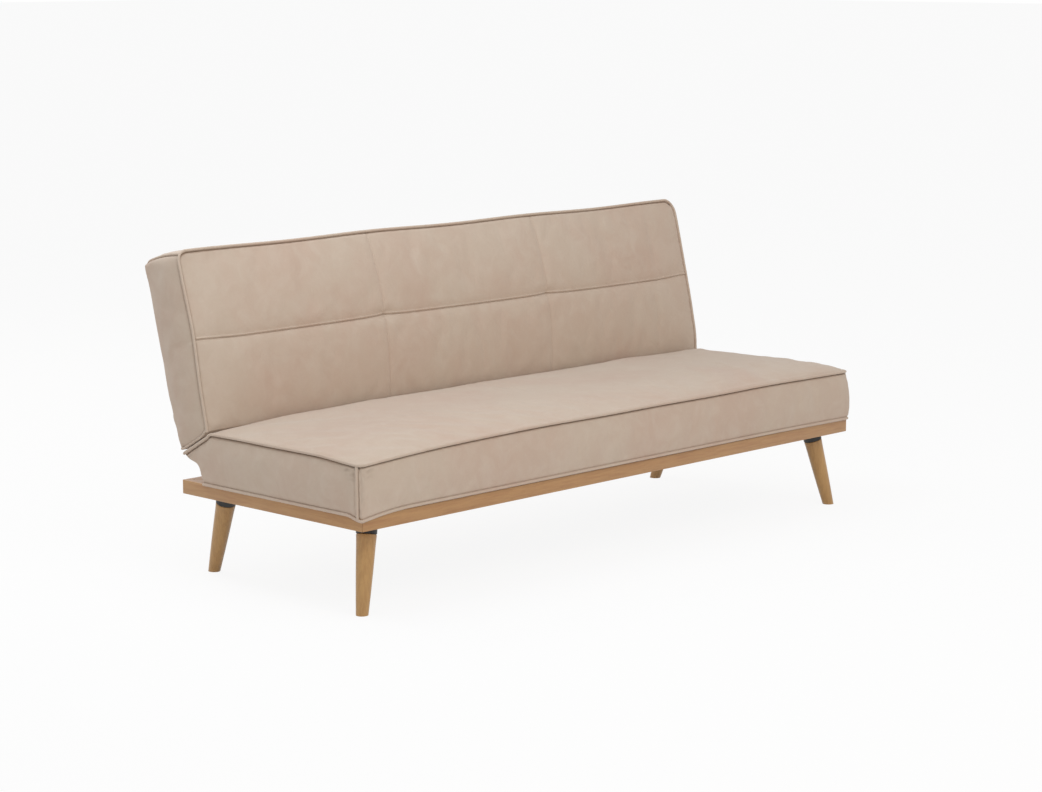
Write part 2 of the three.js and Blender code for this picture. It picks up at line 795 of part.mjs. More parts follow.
const backTopRear = { height: backHeight - backTopFall };
const backSection = [
  { y: backFrontY, z: backRise, core: true },
  ...hollowAngles.map((angle, i) => ({
    y: hollowRadius * Math.cos(angle),
    z: hollowRadius * Math.sin(angle),
    core: i === 0 || i === 2,
  })),
  { y: backRearY(0) - backHeelRadius, z: backRise - 3 * backHeelRadius, core: true },
  { y: backRearY(0) - backHeelRadius / 3, z: backRise - backHeelRadius, core: true },
  ...rearShares.map((share) => ({
    y: backRearY(share * backHeight),
    z: backRise + share * backHeight,
    rearShare: Math.sin(share * Math.PI),
    core: rearCoreShares.includes(share),
  })),
  { y: backRearY(backTopRear.height), z: backRise + backTopRear.height, core: true },
  {
    y: (backFrontY + backRearY(backHeight)) / 2,
    z: backRise + backHeight - backTopFall / 2 + backTopCrown,
    topShare: 1,
  },
  { y: backFrontY, z: backRise + backHeight, core: true },
  ...frontShares.map((share) => ({
    y: backFrontY - backEdgeBow * Math.sin(share * Math.PI),
    z: backRise + share * backHeight,
    frontShare: Math.sin(share * Math.PI) ** 0.5,
    height: share * backHeight,
    core: frontCoreShares.includes(share),
  })),
];
const backCentre = [
  backFrontY + backThicknessFoot * backCentreShares[0],
  backRise + backHeight * backCentreShares[1],
];

function seamPull(distance) {
  const share = Math.min(Math.abs(distance) / seamHalfWidth, 1);
  return (1 - share) ** 2;
}

// How far the sewn seams and tufts draw the front of the back cushion in
function sewnDepth(x, height) {
  const level = seamPull(height - seamHeight);
  const upright = seamPull(Math.abs(x) - seamX);
  return seamDepth * Math.max(level, upright / 2) + (tuftDepth - seamDepth) * level * upright;
}

function backMove(p, x, sewn) {
  const lift = softRise(x, backHalf);
  const depth = sewn && p.frontShare ? sewnDepth(x, p.height) * Math.min(lift * 2, 1) : 0;
  const forward = (p.frontShare ?? 0) * backCrown * lift;
  const rearward = (p.rearShare ?? 0) * backRearBulge * lift;
  return [p.y - forward + rearward + depth, p.z + (p.topShare ?? 0) * backTopCrown * lift];
}

function backStations() {
  const plain = softStationShares.slice(0, 4).map((share) => share * backHalf);
  const right = [seamX / 2, seamX - seamHalfWidth, seamX, seamX + seamHalfWidth, ...plain.reverse()];
  return [...right.map((x) => -x).reverse(), 0, ...right];
}

function backForm(distance) {
  const inner = distance > 0;
  return cushion({
    section: inner ? insetSection(backSection, distance) : backSection,
    centre: backCentre,
    half: backHalf - distance,
    bulge: inner ? backSideBulge / 2 : backSideBulge,
    stations: inner ? evenStations(softStationShares, backHalf - distance) : backStations(),
    move: (p, x) => backMove(p, x, !inner),
  });
}

const stileRearY = backRearY(0) - coverThickness - slotGap;
const stileFrontY = stileRearY - stileDepth;
const strapFrontY = stileFrontY - fitGap - strapThickness;
const stileHead = backRise + backHeight - stileHeadRoom;
const armX = { inner: hingeX + fitGap, outer: hingeX + fitGap + plateThickness };
const stileX = { inner: armX.outer + fitGap, outer: armX.outer + fitGap + beamThickness };

// Slot where a hinge arm goes into the back
function armSlots(extra) {
  return [-1, 1].map((side) => {
    const inner = armX.inner - extra;
    const outer = armX.outer + extra;
    return toSolid(block(
      side < 0 ? [-outer, -inner] : [inner, outer],
      [-armFront - extra, armRear + extra],
      [0, armLength + extra],
    ));
  });
}

function addBackCover() {
  let cover = toSolid(backForm(0)).subtract(toSolid(backForm(coverThickness)));
  armSlots(runningGap).forEach((slot) => {
    cover = cover.subtract(slot);
  });
  place(back, 'back_cover', toGeometry(cover), materials.fabric);
}

function addBackFoam() {
  let foam = toSolid(backForm(coverThickness + fitGap));
  const frameSpace = toSolid(block(
    [-stileX.outer - fitGap, stileX.outer + fitGap],
    [strapFrontY - fitGap, backRearY(backHeight) + cutOverrun],
    [stileFoot - fitGap, stileHead + fitGap],
  ));
  foam = foam.subtract(frameSpace);
  armSlots(runningGap).forEach((slot) => {
    foam = foam.subtract(slot);
  });
  place(back, 'back_foam', toGeometry(foam), materials.foam);
}

function addBackFrame() {
  const depths = [stileFrontY, stileRearY];
  const heights = [stileFoot, stileHead];
  const between = [-stileX.inner + fitGap, stileX.inner - fitGap];
  const foot = [stileFoot, stileFoot + backRailHeight];
  const head = [stileHead - backRailHeight, stileHead];
  place(back, 'back_stile_left', block([-stileX.outer, -stileX.inner], depths, heights), materials.pine);
  place(back, 'back_stile_right', block([stileX.inner, stileX.outer], depths, heights), materials.pine);
  const railEnd = stileX.inner - fitGap - plateThickness - fitGap;
  place(back, 'back_rail_foot', block([-railEnd, railEnd], depths, foot), materials.pine);
  place(back, 'back_rail_head', block(between, depths, head), materials.pine);
  const strapSpace = (head[0] - foot[1]) / 3;
  ['lower', 'upper'].forEach((name, i) => {
    const middle = foot[1] + strapSpace * (i + 1);
    const strap = block(
      [-stileX.outer, stileX.outer],
      [strapFrontY, strapFrontY + strapThickness],
      [middle - strapWidth / 2, middle + strapWidth / 2],
    );
    place(back, `back_strap_${name}`, strap, materials.webbing);
  });
}

function addBackPiping() {
  const corner = new THREE.Vector3();
  const outward = new THREE.Vector3();
  const top = backRise + backHeight;
  const side = (sign) => [
    beside(corner.set(sign * backHalf, backFrontY, backRise + backPipingStart), outward.set(sign, -1, 0)),
    ...[...frontShares].reverse().map((share) => beside(
      corner.set(
        sign * backHalf,
        backFrontY - backEdgeBow * Math.sin(share * Math.PI),
        backRise + share * backHeight,
      ),
      outward.set(sign, -1, 0),
    )),
    beside(corner.set(sign * backHalf, backFrontY, top), outward.set(sign, -1, 1)),
  ];
  const across = backStations().slice(1, -1).map((x) => beside(
    corner.set(x, backFrontY, top),
    outward.set(0, -1, 1),
  ));
  const front = [...side(-1), ...across, ...side(1).reverse()];
  place(back, 'back_piping_front', tubeThrough(front, pipingRadius, 7), materials.fabric);

  const middleY = (backFrontY + backRearY(backHeight)) / 2;
  const middleZ = backRise + backHeight - backTopFall / 2 + backTopCrown;
  [['left', -1], ['right', 1]].forEach(([name, sign]) => {
    const edge = [
      beside(corner.set(sign * backHalf, backFrontY + 3 * pipingOffset, top), outward.set(sign, 0, 1)),
      beside(corner.set(sign * backHalf, middleY, middleZ), outward.set(sign, 0, 1)),
      beside(
        corner.set(sign * backHalf, backRearY(backTopRear.height), backRise + backTopRear.height),
        outward.set(sign, 0, 1),
      ),
    ];
    place(back, `back_piping_top_${name}`, tubeThrough(edge, pipingRadius, 7), materials.fabric);
  });
}

// Hinges. The fixed bracket holds the notched sector, and the arm swings beside it with the back.

function circleShape(radius) {
  const shape = new THREE.Shape();
  shape.absarc(0, 0, radius, 0, 2 * Math.PI, false);
  return shape;
}

function notchSolid(angle) {
  const height = 2 * notchDepth;
  const notch = new THREE.BoxGeometry(3 * plateThickness, height, notchWidth);
  notch.translate(hingeX - plateThickness / 2, sectorRadius, 0).rotateX(angle);
  return toSolid(notch);
}

function bracketGeometry() {
  const x0 = hingeX - plateThickness;
  const footZ = frameTopZ + fitGap - pivotZ;
  const sector = toSolid(plateFromOutline(circleShape(sectorRadius), x0, plateThickness, 12));
  const web = toSolid(block([x0, hingeX], [-bracketWidth / 2, bracketWidth / 2], [footZ, 0]));
  const flange = toSolid(block(
    [flangeX.inner, hingeX],
    [-flangeLength / 2, flangeLength / 2],
    [footZ, footZ + plateThickness],
  ));
  let solid = sector.add(web).add(flange);
  solid = solid.subtract(toSolid(rodAlongX(rivetRadius + fitGap, x0 - cutOverrun, hingeX + cutOverrun)));
  [releaseAngle, 0, relaxAngle, flatAngle].forEach((angle) => {
    solid = solid.subtract(notchSolid(pawlToothAngle - backLean - angle));
  });
  [-1, 1].forEach((end) => {
    const radius = screwRadius + fitGap;
    const hole = new THREE.CylinderGeometry(radius, radius, 4 * plateThickness, 12);
    hole.rotateX(Math.PI / 2).translate(screwX, (end * screwSpacing) / 2, footZ);
    solid = solid.subtract(toSolid(hole));
  });
  return toGeometry(solid);
}

function armGeometry() {
  const shape = new THREE.Shape();
  shape.absarc(0, 0, armHubRadius, Math.PI, 2 * Math.PI, false);
  shape.lineTo(armRear, armHubRadius * 2);
  shape.lineTo(armRear, armLength);
  shape.lineTo(-armFront, armLength);
  shape.lineTo(-armFront, armHubRadius * 2);
  shape.closePath();
  const pivotHole = new THREE.Path();
  pivotHole.absarc(0, 0, rivetRadius + fitGap, 0, 2 * Math.PI, true);
  const pinHole = new THREE.Path();
  pinHole.absarc(pawlPin.y, pawlPin.z, pawlPinRadius + fitGap, 0, 2 * Math.PI, true);
  shape.holes.push(pivotHole, pinHole);
  return plateFromOutline(shape, armX.inner, plateThickness, 6);
}

const pawlPin = { y: pawlPinReach * Math.cos(pawlPinAngle), z: pawlPinReach * Math.sin(pawlPinAngle) };
const elbowReach = sectorRadius + runningGap + pawlToothHeight + pawlArmWidth / 2;
const pawlArm = new THREE.Vector2(
  elbowReach * Math.cos(pawlToothAngle) - pawlPin.y,
  elbowReach * Math.sin(pawlToothAngle) - pawlPin.z,
);

// Outline of the pawl about its own pin: a round hub, and an arm with a tooth at its end
function pawlGeometry() {
  const arm = pawlArm.length();
  const toothNear = arm - pawlToothWidth / 2;
  const toothFar = arm + pawlToothWidth / 2;
  const toothTip = pawlArmWidth / 2 + pawlToothHeight;
  const shape = new THREE.Shape();
  shape.absarc(0, 0, pawlHubRadius, Math.PI / 2, 1.5 * Math.PI, false);
  shape.lineTo(toothFar, -pawlArmWidth / 2);
  shape.lineTo(toothFar, toothTip);
  shape.lineTo(toothNear, toothTip);
  shape.lineTo(toothNear, pawlArmWidth / 2);
  shape.closePath();
  const hole = new THREE.Path();
  hole.absarc(0, 0, pawlPinRadius + fitGap, 0, 2 * Math.PI, true);
  shape.holes.push(hole);
  const plate = plateFromOutline(shape, hingeX - plateThickness, plateThickness, 6);
  return plate.rotateX(pawlArm.angle());
}

// Leaf spring that lies along the back of the pawl
function leafGeometry() {
  const away = pawlHubRadius + fitGap + leafThickness / 2;
  const leaf = new THREE.BoxGeometry(plateThickness, leafLength, leafThickness);
  leaf.translate(hingeX - plateThickness / 2, leafLength / 2, -away);
  return leaf.rotateX(pawlArm.angle()).translate(0, pawlPin.y, pawlPin.z);
}

function headedPin(radius, headRadius, x0, x1) {
  const shank = toSolid(rodAlongX(radius, x0, x1));
  const inner = toSolid(rodAlongX(headRadius, x0 - rivetHeadThickness, x0));
  const outer = toSolid(rodAlongX(headRadius, x1, x1 + rivetHeadThickness));
  return toGeometry(shank.add(inner).add(outer));
}

// The same piece for the left side: its triangles turn round as it is mirrored
function mirrored(geometry) {
  const copy = geometry.clone().scale(-1, 1, 1);
  const count = copy.attributes.position.count;
  const order = copy.index ? [...copy.index.array] : Array.from({ length: count }, (_, i) => i);
  const flipped = [];
  for (let i = 0; i < order.length; i += 3) flipped.push(order[i], order[i + 2], order[i + 1]);
  return copy.setIndex(flipped);
}

function addHinges() {
  const pinEnds = [hingeX - plateThickness - fitGap, armX.outer + fitGap];
  const rivet = headedPin(rivetRadius, rivetHeadRadius, ...pinEnds);
  const pawlPinSolid = headedPin(pawlPinRadius, pawlPinHeadRadius, ...pinEnds);
  const pieces = [
    [base, 'hinge_bracket', bracketGeometry(), materials.steel, [0, pivotY, pivotZ]],
    [base, 'pivot_rivet', rivet, materials.steel, [0, pivotY, pivotZ]],
    [back, 'hinge_arm', armGeometry(), materials.steel, [0, 0, 0]],
    [back, 'pawl', pawlGeometry(), materials.springSteel, [0, pawlPin.y, pawlPin.z]],
    [back, 'pawl_pin', pawlPinSolid, materials.steel, [0, pawlPin.y, pawlPin.z]],
    [back, 'pawl_leaf_spring', leafGeometry(), materials.springSteel, [0, 0, 0]],
  ];
  pieces.forEach(([parent, name, geometry, material, position]) => {
    place(parent, `${name}_right`, geometry, material, position);
    place(parent, `${name}_left`, mirrored(geometry), material, position);
  });
  screwPlaces.forEach(({ name, position }) => {
    place(base, name, screwGeometry(0), materials.steel, position);
  });
}

addFrame();
addLegs();
addSeatFrame();
addSeatSprings();
addSeatFoam();
addSeatCover();
addSeatDustSheet();
addSeatPiping();
addBackFrame();
addBackFoam();
addBackCover();
addBackPiping();
addHinges();

// The origin goes under the middle of the whole sofa
const middle = new THREE.Box3().setFromObject(sofa, true).getCenter(new THREE.Vector3());
sofa.position.y = -middle.y;

export default sofa;
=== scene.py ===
import json
import math

import bmesh
import bpy
import numpy as np
from bpy.props import FloatProperty, FloatVectorProperty, IntProperty, PointerProperty
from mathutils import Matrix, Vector
from mathutils.kdtree import KDTree


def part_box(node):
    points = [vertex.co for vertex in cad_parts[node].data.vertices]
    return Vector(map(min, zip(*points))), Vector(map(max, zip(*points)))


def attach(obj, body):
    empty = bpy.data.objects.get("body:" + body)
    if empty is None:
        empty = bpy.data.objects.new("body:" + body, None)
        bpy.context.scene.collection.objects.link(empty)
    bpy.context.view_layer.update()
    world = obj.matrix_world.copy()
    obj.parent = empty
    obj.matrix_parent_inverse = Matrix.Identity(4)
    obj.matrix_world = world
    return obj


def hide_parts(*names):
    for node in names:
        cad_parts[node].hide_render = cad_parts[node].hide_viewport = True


bl_info = {
    "name": "Click clack sofa bed",
    "version": (1, 0, 0),
    "blender": (4, 5, 0),
    "location": "View3D > Sidebar > Sofa",
    "description": "Dresses a click clack sofa bed: padded seat and back, piping, wood, steel",
    "category": "Object",
}

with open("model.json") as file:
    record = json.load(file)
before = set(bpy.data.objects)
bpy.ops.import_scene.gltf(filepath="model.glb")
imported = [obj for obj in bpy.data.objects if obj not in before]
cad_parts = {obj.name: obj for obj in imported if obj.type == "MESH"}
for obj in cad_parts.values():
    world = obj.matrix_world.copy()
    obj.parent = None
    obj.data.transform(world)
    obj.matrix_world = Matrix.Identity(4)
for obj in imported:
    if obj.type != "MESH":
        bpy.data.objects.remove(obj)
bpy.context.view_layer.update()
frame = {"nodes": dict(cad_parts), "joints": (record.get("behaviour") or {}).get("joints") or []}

MM = 0.001

# Where the wooden frame lies
rail_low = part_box("front_rail")[0]
rail_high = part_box("rear_rail")[1]
HALF_LENGTH = rail_high.x
FRAME_FRONT_Y = rail_low.y
FRAME_REAR_Y = rail_high.y
FRAME_MIDDLE_Y = (FRAME_FRONT_Y + FRAME_REAR_Y) / 2
FRAME_FOOT_Z = rail_low.z
FRAME_TOP_Z = rail_high.z

# Fold of the back: the hinge line and the lean at rest
FOLD = next(joint for joint in frame["joints"] if joint["name"] == "back_fold")
PIVOT = Vector(FOLD["pos_m"])
BACK_LEAN = math.radians(11.2)
SIDES = (("left", -1), ("right", 1))
CORNERS = [f"{end}_{side}" for end in ("front", "rear") for side, _ in SIDES]

# Close steps beside a seam, and beside a cut, in metres
SEAM_STEPS = [step * MM for step in (0, 0.8, 1.6, 2.4, 3.2, 4, 4.8, 5.8, 7.4, 10, 14)]
CUT_STEPS = [0.3 * MM]


def length(name, description, millimetres):
    """A size that a user may change, given in millimetres"""
    return FloatProperty(
        name=name, description=description, default=millimetres * MM, min=0.0, unit="LENGTH",
        precision=4,
    )


def colour(name, description, red, green, blue):
    """A colour that a user may change, given as the 0 to 255 values of a screen"""
    channels = [((c / 255 + 0.055) / 1.055) ** 2.4 for c in (red, green, blue)]
    return FloatVectorProperty(
        name=name, description=description, default=channels, min=0.0, max=1.0, subtype="COLOR",
        size=3,
    )


class SofaSizes(bpy.types.PropertyGroup):
    """Sizes of the padding, the piping and the edges of the wood"""

    seat_thickness: length("Seat thickness", "From the frame to the seat's piping", 118.7)
    seat_overhang: length("Seat overhang", "How far the seat stands past the frame", 2)
    seat_skirt: length("Seat skirt", "How far the seat's cover hangs over the frame's top edge", 4)
    seat_crown: length("Seat crown", "How far the seat's middle rises above its piping", 17)
    seat_front_bulge: length("Seat front bulge", "How far the front panel swells", 8)
    seat_setback: length("Seat setback", "How far the front's top edge stands back", 5)
    seat_side_bulge: length("Seat side bulge", "How far each end panel swells further", 7)
    back_height: length("Back height", "Height of the front panel of the back", 432)
    back_crown: length("Back crown", "How far the back's front panel swells", 21)
    back_bow: length("Back bow", "How far the back's piped edges bow forward", 12)
    back_side_bulge: length("Back side bulge", "How far each end of the back swells", 12)
    back_rear_bulge: length("Back rear bulge", "How far the rear panel swells", 4)
    back_top_crown: length("Back top crown", "How far the top panel swells", 4)
    seam_depth: length("Seam depth", "How far the sewn seams draw the back in", 6)
    tuft_depth: length("Tuft depth", "How far the seams' crossings draw the back in", 11)
    piping_radius: length("Piping radius", "Radius of the covered cord on the seat's seams", 3.6)
    back_piping_radius: length("Back piping radius", "Radius of the cord on the back's seams", 3.3)
    groove_depth: length("Groove depth", "Depth of the groove under a piped edge", 5.5)
    cover_drift: length("Cover drift", "How far the hand-stretched covers wander", 1.2)
    cover_slack: FloatProperty(name="Cover slack", description="Share of spare cloth in a cover",
                               default=0.035, min=0.0, max=0.2, subtype="FACTOR")
    fold_height: length("Fold height", "Height that no fold in a cover passes", 3.5)
    wood_edge: length("Wood edge", "Rounding of the frame's edges", 1.6)


class SofaColours(bpy.types.PropertyGroup):
    """Colours of the covers, the wood and the fittings"""

    fabric: colour("Fabric", "Velour of the covers", 199, 181, 163)
    fabric_shade: colour("Fabric shade", "Darker, warmer patches of the velour", 194, 163, 145)
    fabric_light: colour("Fabric light", "Nap of the velour brushed the light way", 208, 193, 177)
    # Painted shade: this dark colour is laid into the grooves beside the seams and along the creases,
    # where shade falls
    fabric_crease_shade: colour("Fabric crease", "Depth of the creases beside the seams", 122, 90, 64)
    frame_wood: colour("Frame wood", "Oiled beech of the frame", 186, 142, 93)
    frame_grain: colour("Frame grain", "Darker lines in the beech", 160, 112, 72)
    leg_wood: colour("Leg wood", "Lighter wood of the legs", 189, 147, 91)
    leg_grain: colour("Leg grain", "Darker lines in the legs", 160, 118, 69)
    pine: colour("Pine", "Bare pine inside the cushions", 214, 184, 136)
    pine_grain: colour("Pine grain", "Rings in the pine", 184, 142, 92)
    plastic: colour("Plastic", "Black collars of the legs", 30, 29, 28)
    sheet: colour("Dust sheet", "Black non-woven cloth under the seat", 34, 33, 32)
    webbing: colour("Webbing", "Elastic straps in the back", 52, 50, 48)
    steel: colour("Steel", "Zinc-plated hinges and screws", 186, 187, 189)
    spring_steel: colour("Spring steel", "Blued springs and pawls", 88, 92, 98)


class SofaStudio(bpy.types.PropertyGroup):
    """The plain studio round the sofa"""

    key_power: FloatProperty(name="Key power", description="Large soft lamp above the front",
                             default=45.0, min=0.0, unit="POWER")
    fill_power: FloatProperty(name="Fill power", description="Soft lamp at the left end",
                              default=2.0, min=0.0, unit="POWER")
    rear_power: FloatProperty(name="Rear power", description="Soft lamp behind the back",
                              default=34.0, min=0.0, unit="POWER")
    top_power: FloatProperty(name="Top power", description="Cool soft lamp overhead",
                             default=17.0, min=0.0, unit="POWER")
    sky: FloatProperty(name="Sky", description="Level of the even light from all round",
                       default=0.57, min=0.0)
    lens: FloatProperty(name="Lens", description="Focal length on a 36 mm wide sensor",
                        default=92.72, min=1.0, unit="CAMERA")
    seed: IntProperty(name="Seed", description="Start of the unevenness of the covers", default=7)


# Paths in a plane, as arrays of points

def unit(vector):
    return vector / np.linalg.norm(vector)


def rounded(points, setbacks, steps=7):
    """A path through the points, each inner corner eased over its setback"""
    points = [np.array(p, float) for p in points]
    path = [points[0]]
    for before, corner, after, setback in zip(points, points[1:], points[2:], setbacks):
        if setback == 0:
            path.append(corner)
            continue
        start = corner + unit(before - corner) * setback
        end = corner + unit(after - corner) * setback
        for t in np.linspace(0, 1, steps):
            path.append(start * (1 - t) ** 2 + corner * 2 * t * (1 - t) + end * t * t)
    path.append(points[-1])
    return np.array(path)


def run_along(path):
    """Distance run along a path at each of its points"""
    return np.concatenate([[0], np.cumsum(np.linalg.norm(np.diff(path, axis=0), axis=1))])


def resample(path, shares):
    run = run_along(path)
    places = np.asarray(shares) * run[-1]
    return np.column_stack([np.interp(places, run, path[:, k]) for k in range(path.shape[1])])


def split_near(path, point):
    """A path cut in two at its point that is nearest to another point"""
    index = int(np.argmin(np.linalg.norm(path - np.array(point), axis=1)))
    return path[:index + 1], path[index:]


def graded(start, end, marks, spacing):
    """Places from start to end, no further apart than the spacing, with close steps at marks"""
    fixed = {start, end}
    for mark, steps in marks:
        for step in steps:
            fixed.update(place for place in (mark - step, mark + step) if start <= place <= end)
    fixed = sorted(fixed)
    places = [fixed[0]]
    for place in fixed[1:]:
        gap = place - places[-1]
        if gap < 0.2 * MM:
            continue
        count = math.ceil(gap / spacing)
        places += list(places[-1] + gap * np.arange(1, count + 1) / count)
    return np.array(places)


def nearest_on(route, points):
    """Distance of each point from a route, and how far along the route its nearest point is"""
    best = np.full(len(points), np.inf)
    along = np.zeros(len(points))
    run = run_along(route)
    for start, end, before in zip(route, route[1:], run):
        edge = end - start
        size = float(edge @ edge)
        share = np.clip(((points - start) @ edge) / max(size, 1e-12), 0, 1)
        distance = np.linalg.norm(points - start - share[:, None] * edge, axis=1)
        closer = distance < best
        best[closer] = distance[closer]
        along[closer] = before + share[closer] * math.sqrt(size)
    return best, along


def fade(distance, reach):
    """1 at no distance, falling softly to 0 at the reach"""
    share = np.clip(distance / reach, 0, 1)
    return 1 - share * share * (3 - 2 * share)


def eased_table(table, places):
    """Millimetres read from a table of places and values, with its kinks softened"""
    at, values = np.array(table).T * MM
    return np.mean([np.interp(places + o * MM, at, values) for o in (-24, -12, 0, 12, 24)], axis=0)


def mound(distance, centre, width):
    return np.exp(-(((distance - centre) / width) ** 2))


def corner_pull(across, beyond):
    """Share by which a square corner, given from the middle of its rounding, is drawn in"""
    inside = (across > 0) & (beyond > 0)
    size = np.maximum(np.hypot(across, beyond), 1e-9)
    return np.where(inside, np.maximum(across, beyond) / size - 1, 0)


# Unevenness, the same on each run

def waves(values, seed, lengths):
    """A wandering line with a size of about 1, from sine waves of the given lengths"""
    random = np.random.default_rng(seed)
    total = np.zeros(len(values))
    for wave in lengths:
        phase, stretch = random.uniform(0, 2 * math.pi), random.uniform(0.85, 1.15)
        total += np.sin(2 * math.pi * values / (wave * stretch) + phase)
    return total / math.sqrt(len(lengths))


def drift(points, seed, amount):
    """Slow wandering of a cover and of the piping on it, alike wherever they meet"""
    random = np.random.default_rng(seed)
    total = np.zeros_like(points)
    for wave, share in ((0.7, 0.5), (0.34, 0.35), (0.19, 0.22)):
        for axis in range(3):
            direction = unit(random.normal(size=3)) / wave
            phase = random.uniform(0, 2 * math.pi)
            total[:, axis] += share * np.sin(2 * math.pi * (points @ direction) + phase)
    return total * amount


# Padded forms

class PaddedForm:
    """Six panels of a cushion on one grid: rings of its section along X, and two end panels"""

    def __init__(self, columns, front, top, rear, foot, up, over):
        """Front and rear run from the foot up, top and foot from front to rear"""
        self.columns, self.up, self.over = columns, up, over
        tall, deep = len(up), len(over)
        ring = np.concatenate([front, top[1:], rear[::-1][1:], foot[::-1][1:-1]])
        self.ring_size = len(ring)
        places = np.repeat(columns, len(ring))
        rings = np.column_stack([places, np.tile(ring, (len(columns), 1))])
        grids, extra, shares = {}, [], []
        s, t = over[1:-1, None, None], up[None, 1:-1, None]
        coons = (
            (1 - s) * front[None, 1:-1] + s * rear[None, 1:-1]
            + (1 - t) * foot[1:-1, None] + t * top[1:-1, None]
            - (1 - s) * (1 - t) * front[0] - s * (1 - t) * rear[0]
            - (1 - s) * t * front[-1] - s * t * rear[-1]
        )
        inner = coons.reshape(-1, 2)
        inner_shares = np.stack(np.meshgrid(over[1:-1], up[1:-1], indexing="ij"), -1).reshape(-1, 2)
        for name, column in (("left", 0), ("right", len(columns) - 1)):
            first = len(rings) + len(extra) * len(inner)
            grid = np.zeros((deep, tall), int)
            base = column * self.ring_size
            grid[0, :] = base + np.arange(tall)
            grid[:, -1] = base + tall - 1 + np.arange(deep)
            grid[-1, ::-1] = base + tall + deep - 2 + np.arange(tall)
            grid[1:, 0] = base + self.ring_size - np.arange(1, deep)
            grid[1:-1, 1:-1] = first + np.arange(len(inner)).reshape(deep - 2, tall - 2)
            grids[name] = grid
            extra.append(np.column_stack([np.full(len(inner), columns[column]), inner]))
            shares.append(inner_shares)
        self.flat = np.concatenate([rings, *extra])
        self.end_share = np.concatenate([np.zeros((len(rings), 2)), *shares])
        self.faces = self._faces(grids)
        self.panels = self._panels(grids, tall, deep)
        # Mask of painted shade: how far the velour is darkened in grooves and creases
        self.crease = np.zeros(len(self.flat))

    def _faces(self, grids):
        size, count = self.ring_size, len(self.columns)
        near = np.arange(size)
        after = (near + 1) % size
        rows = np.arange(count - 1)[:, None] * size
        skin = np.stack([rows + near, rows + near + size, rows + after + size, rows + after], -1)
        faces = [skin.reshape(-1, 4)]
        for name, grid in grids.items():
            quads = np.stack([grid[:-1, :-1], grid[1:, :-1], grid[1:, 1:], grid[:-1, 1:]], -1)
            quads = quads.reshape(-1, 4)
            faces.append(quads if name == "right" else quads[:, ::-1])
        return np.concatenate(faces)

    def _panels(self, grids, tall, deep):
        total = len(self.flat)
        on_ring = np.arange(total) < len(self.columns) * self.ring_size
        row = np.arange(total) % self.ring_size
        bounds = np.cumsum([0, tall - 1, deep - 1, tall - 1, deep - 1])
        panels = {}
        for name, low, high in zip(("front", "top", "rear", "foot"), bounds, bounds[1:]):
            inside = (row >= low) & (row <= high)
            if name == "foot":
                inside |= row == 0
            panels[name] = on_ring & inside
        for name, grid in grids.items():
            panels[name] = np.zeros(total, bool)
            panels[name][grid.ravel()] = True
        return panels

    def relax(self, points, weight, rounds):
        """Eases the form where the weight is above 0"""
        edges = np.concatenate([self.faces[:, [k, (k + 1) % 4]] for k in range(4)])
        total = len(points)
        number = np.maximum(np.bincount(edges[:, 0], minlength=total), 1)[:, None]
        for _ in range(rounds):
            mean = np.column_stack([
                np.bincount(edges[:, 0], points[edges[:, 1], k], total) for k in range(3)
            ]) / number
            points = points + weight[:, None] * 0.5 * (mean - points)
        return points

    def normals(self, points):
        a, b, c, d = (points[self.faces[:, k]] for k in range(4))
        across = np.cross(c - a, d - b)
        total = np.zeros_like(points)
        for k in range(4):
            for axis in range(3):
                total[:, axis] += np.bincount(self.faces[:, k], across[:, axis], len(points))
        return total / np.maximum(np.linalg.norm(total, axis=1), 1e-12)[:, None]


def sew(form, route, first, second, depths, seed, pucker=0.6 * MM):
    """Displacement of a piped seam between two panels, given as name and inward direction.
    Each panel dips by its depth beside the seam, and puckers a little along it."""
    points = form.flat
    distance, along = nearest_on(route, points)
    total = np.zeros_like(points)
    centre, width = 4.2 * MM, 2.2 * MM
    corner_reach = 6 * MM
    for (name, inward), depth in zip((first, second), depths):
        here = form.panels[name]
        other = form.panels[second[0] if name == first[0] else first[0]] & ~here
        dip = depth * mound(distance, centre, width)
        at_seam = depth * mound(0, centre, width) * fade(distance, corner_reach)
        rise_and_fall = pucker * waves(along, seed, (0.013, 0.021, 0.037))
        gather = rise_and_fall * mound(distance, 9 * MM, 6 * MM)
        amount = np.where(here, dip + gather, np.where(other, at_seam, 0))
        total += amount[:, None] * np.array(inward, float)
        # Painted shade in the groove beside the piping, darker where the groove is deeper
        dark = min(depth / (5 * MM), 1) * mound(distance, 4.4 * MM, 1.3 * MM)
        form.crease = np.maximum(form.crease, np.where(here, dark, 0))
    return total


def pleats(form, panel, lines):
    """Short creases in a panel, each given by its start, its end and its depth"""
    total = np.zeros(len(form.flat))
    for start, end, depth in lines:
        distance, _ = nearest_on(np.array([start, end]), form.flat)
        total += depth * (mound(distance, 0, 3 * MM) - 0.5 * mound(distance, 8 * MM, 4 * MM))
        # Painted shade along each crease, darker the deeper the crease
        dark = 0.1 * depth / MM * mound(distance, 0, 2 * MM)
        form.crease = np.maximum(form.crease, np.where(form.panels[panel], dark, 0))
    return np.where(form.panels[panel], total, 0)


# Meshes and objects

def in_scene(name, data):
    """A new object of a mesh, a lamp or a camera, put into the scene"""
    piece = bpy.data.objects.new(name, data)
    bpy.context.scene.collection.objects.link(piece)
    return piece


def new_object(name, points, faces, material, smooth=True, crease=None):
    mesh = bpy.data.meshes.new(name)
    mesh.from_pydata([tuple(p) for p in points], [], [tuple(int(i) for i in f) for f in faces])
    mesh.materials.append(material)
    mesh.update()
    # The mask of painted shade goes on the mesh as a point attribute that the velour reads
    if crease is not None:
        mesh.attributes.new("crease", "FLOAT", "POINT").data.foreach_set("value", crease)
    if smooth:
        mesh.shade_smooth()
    return in_scene(name, mesh)


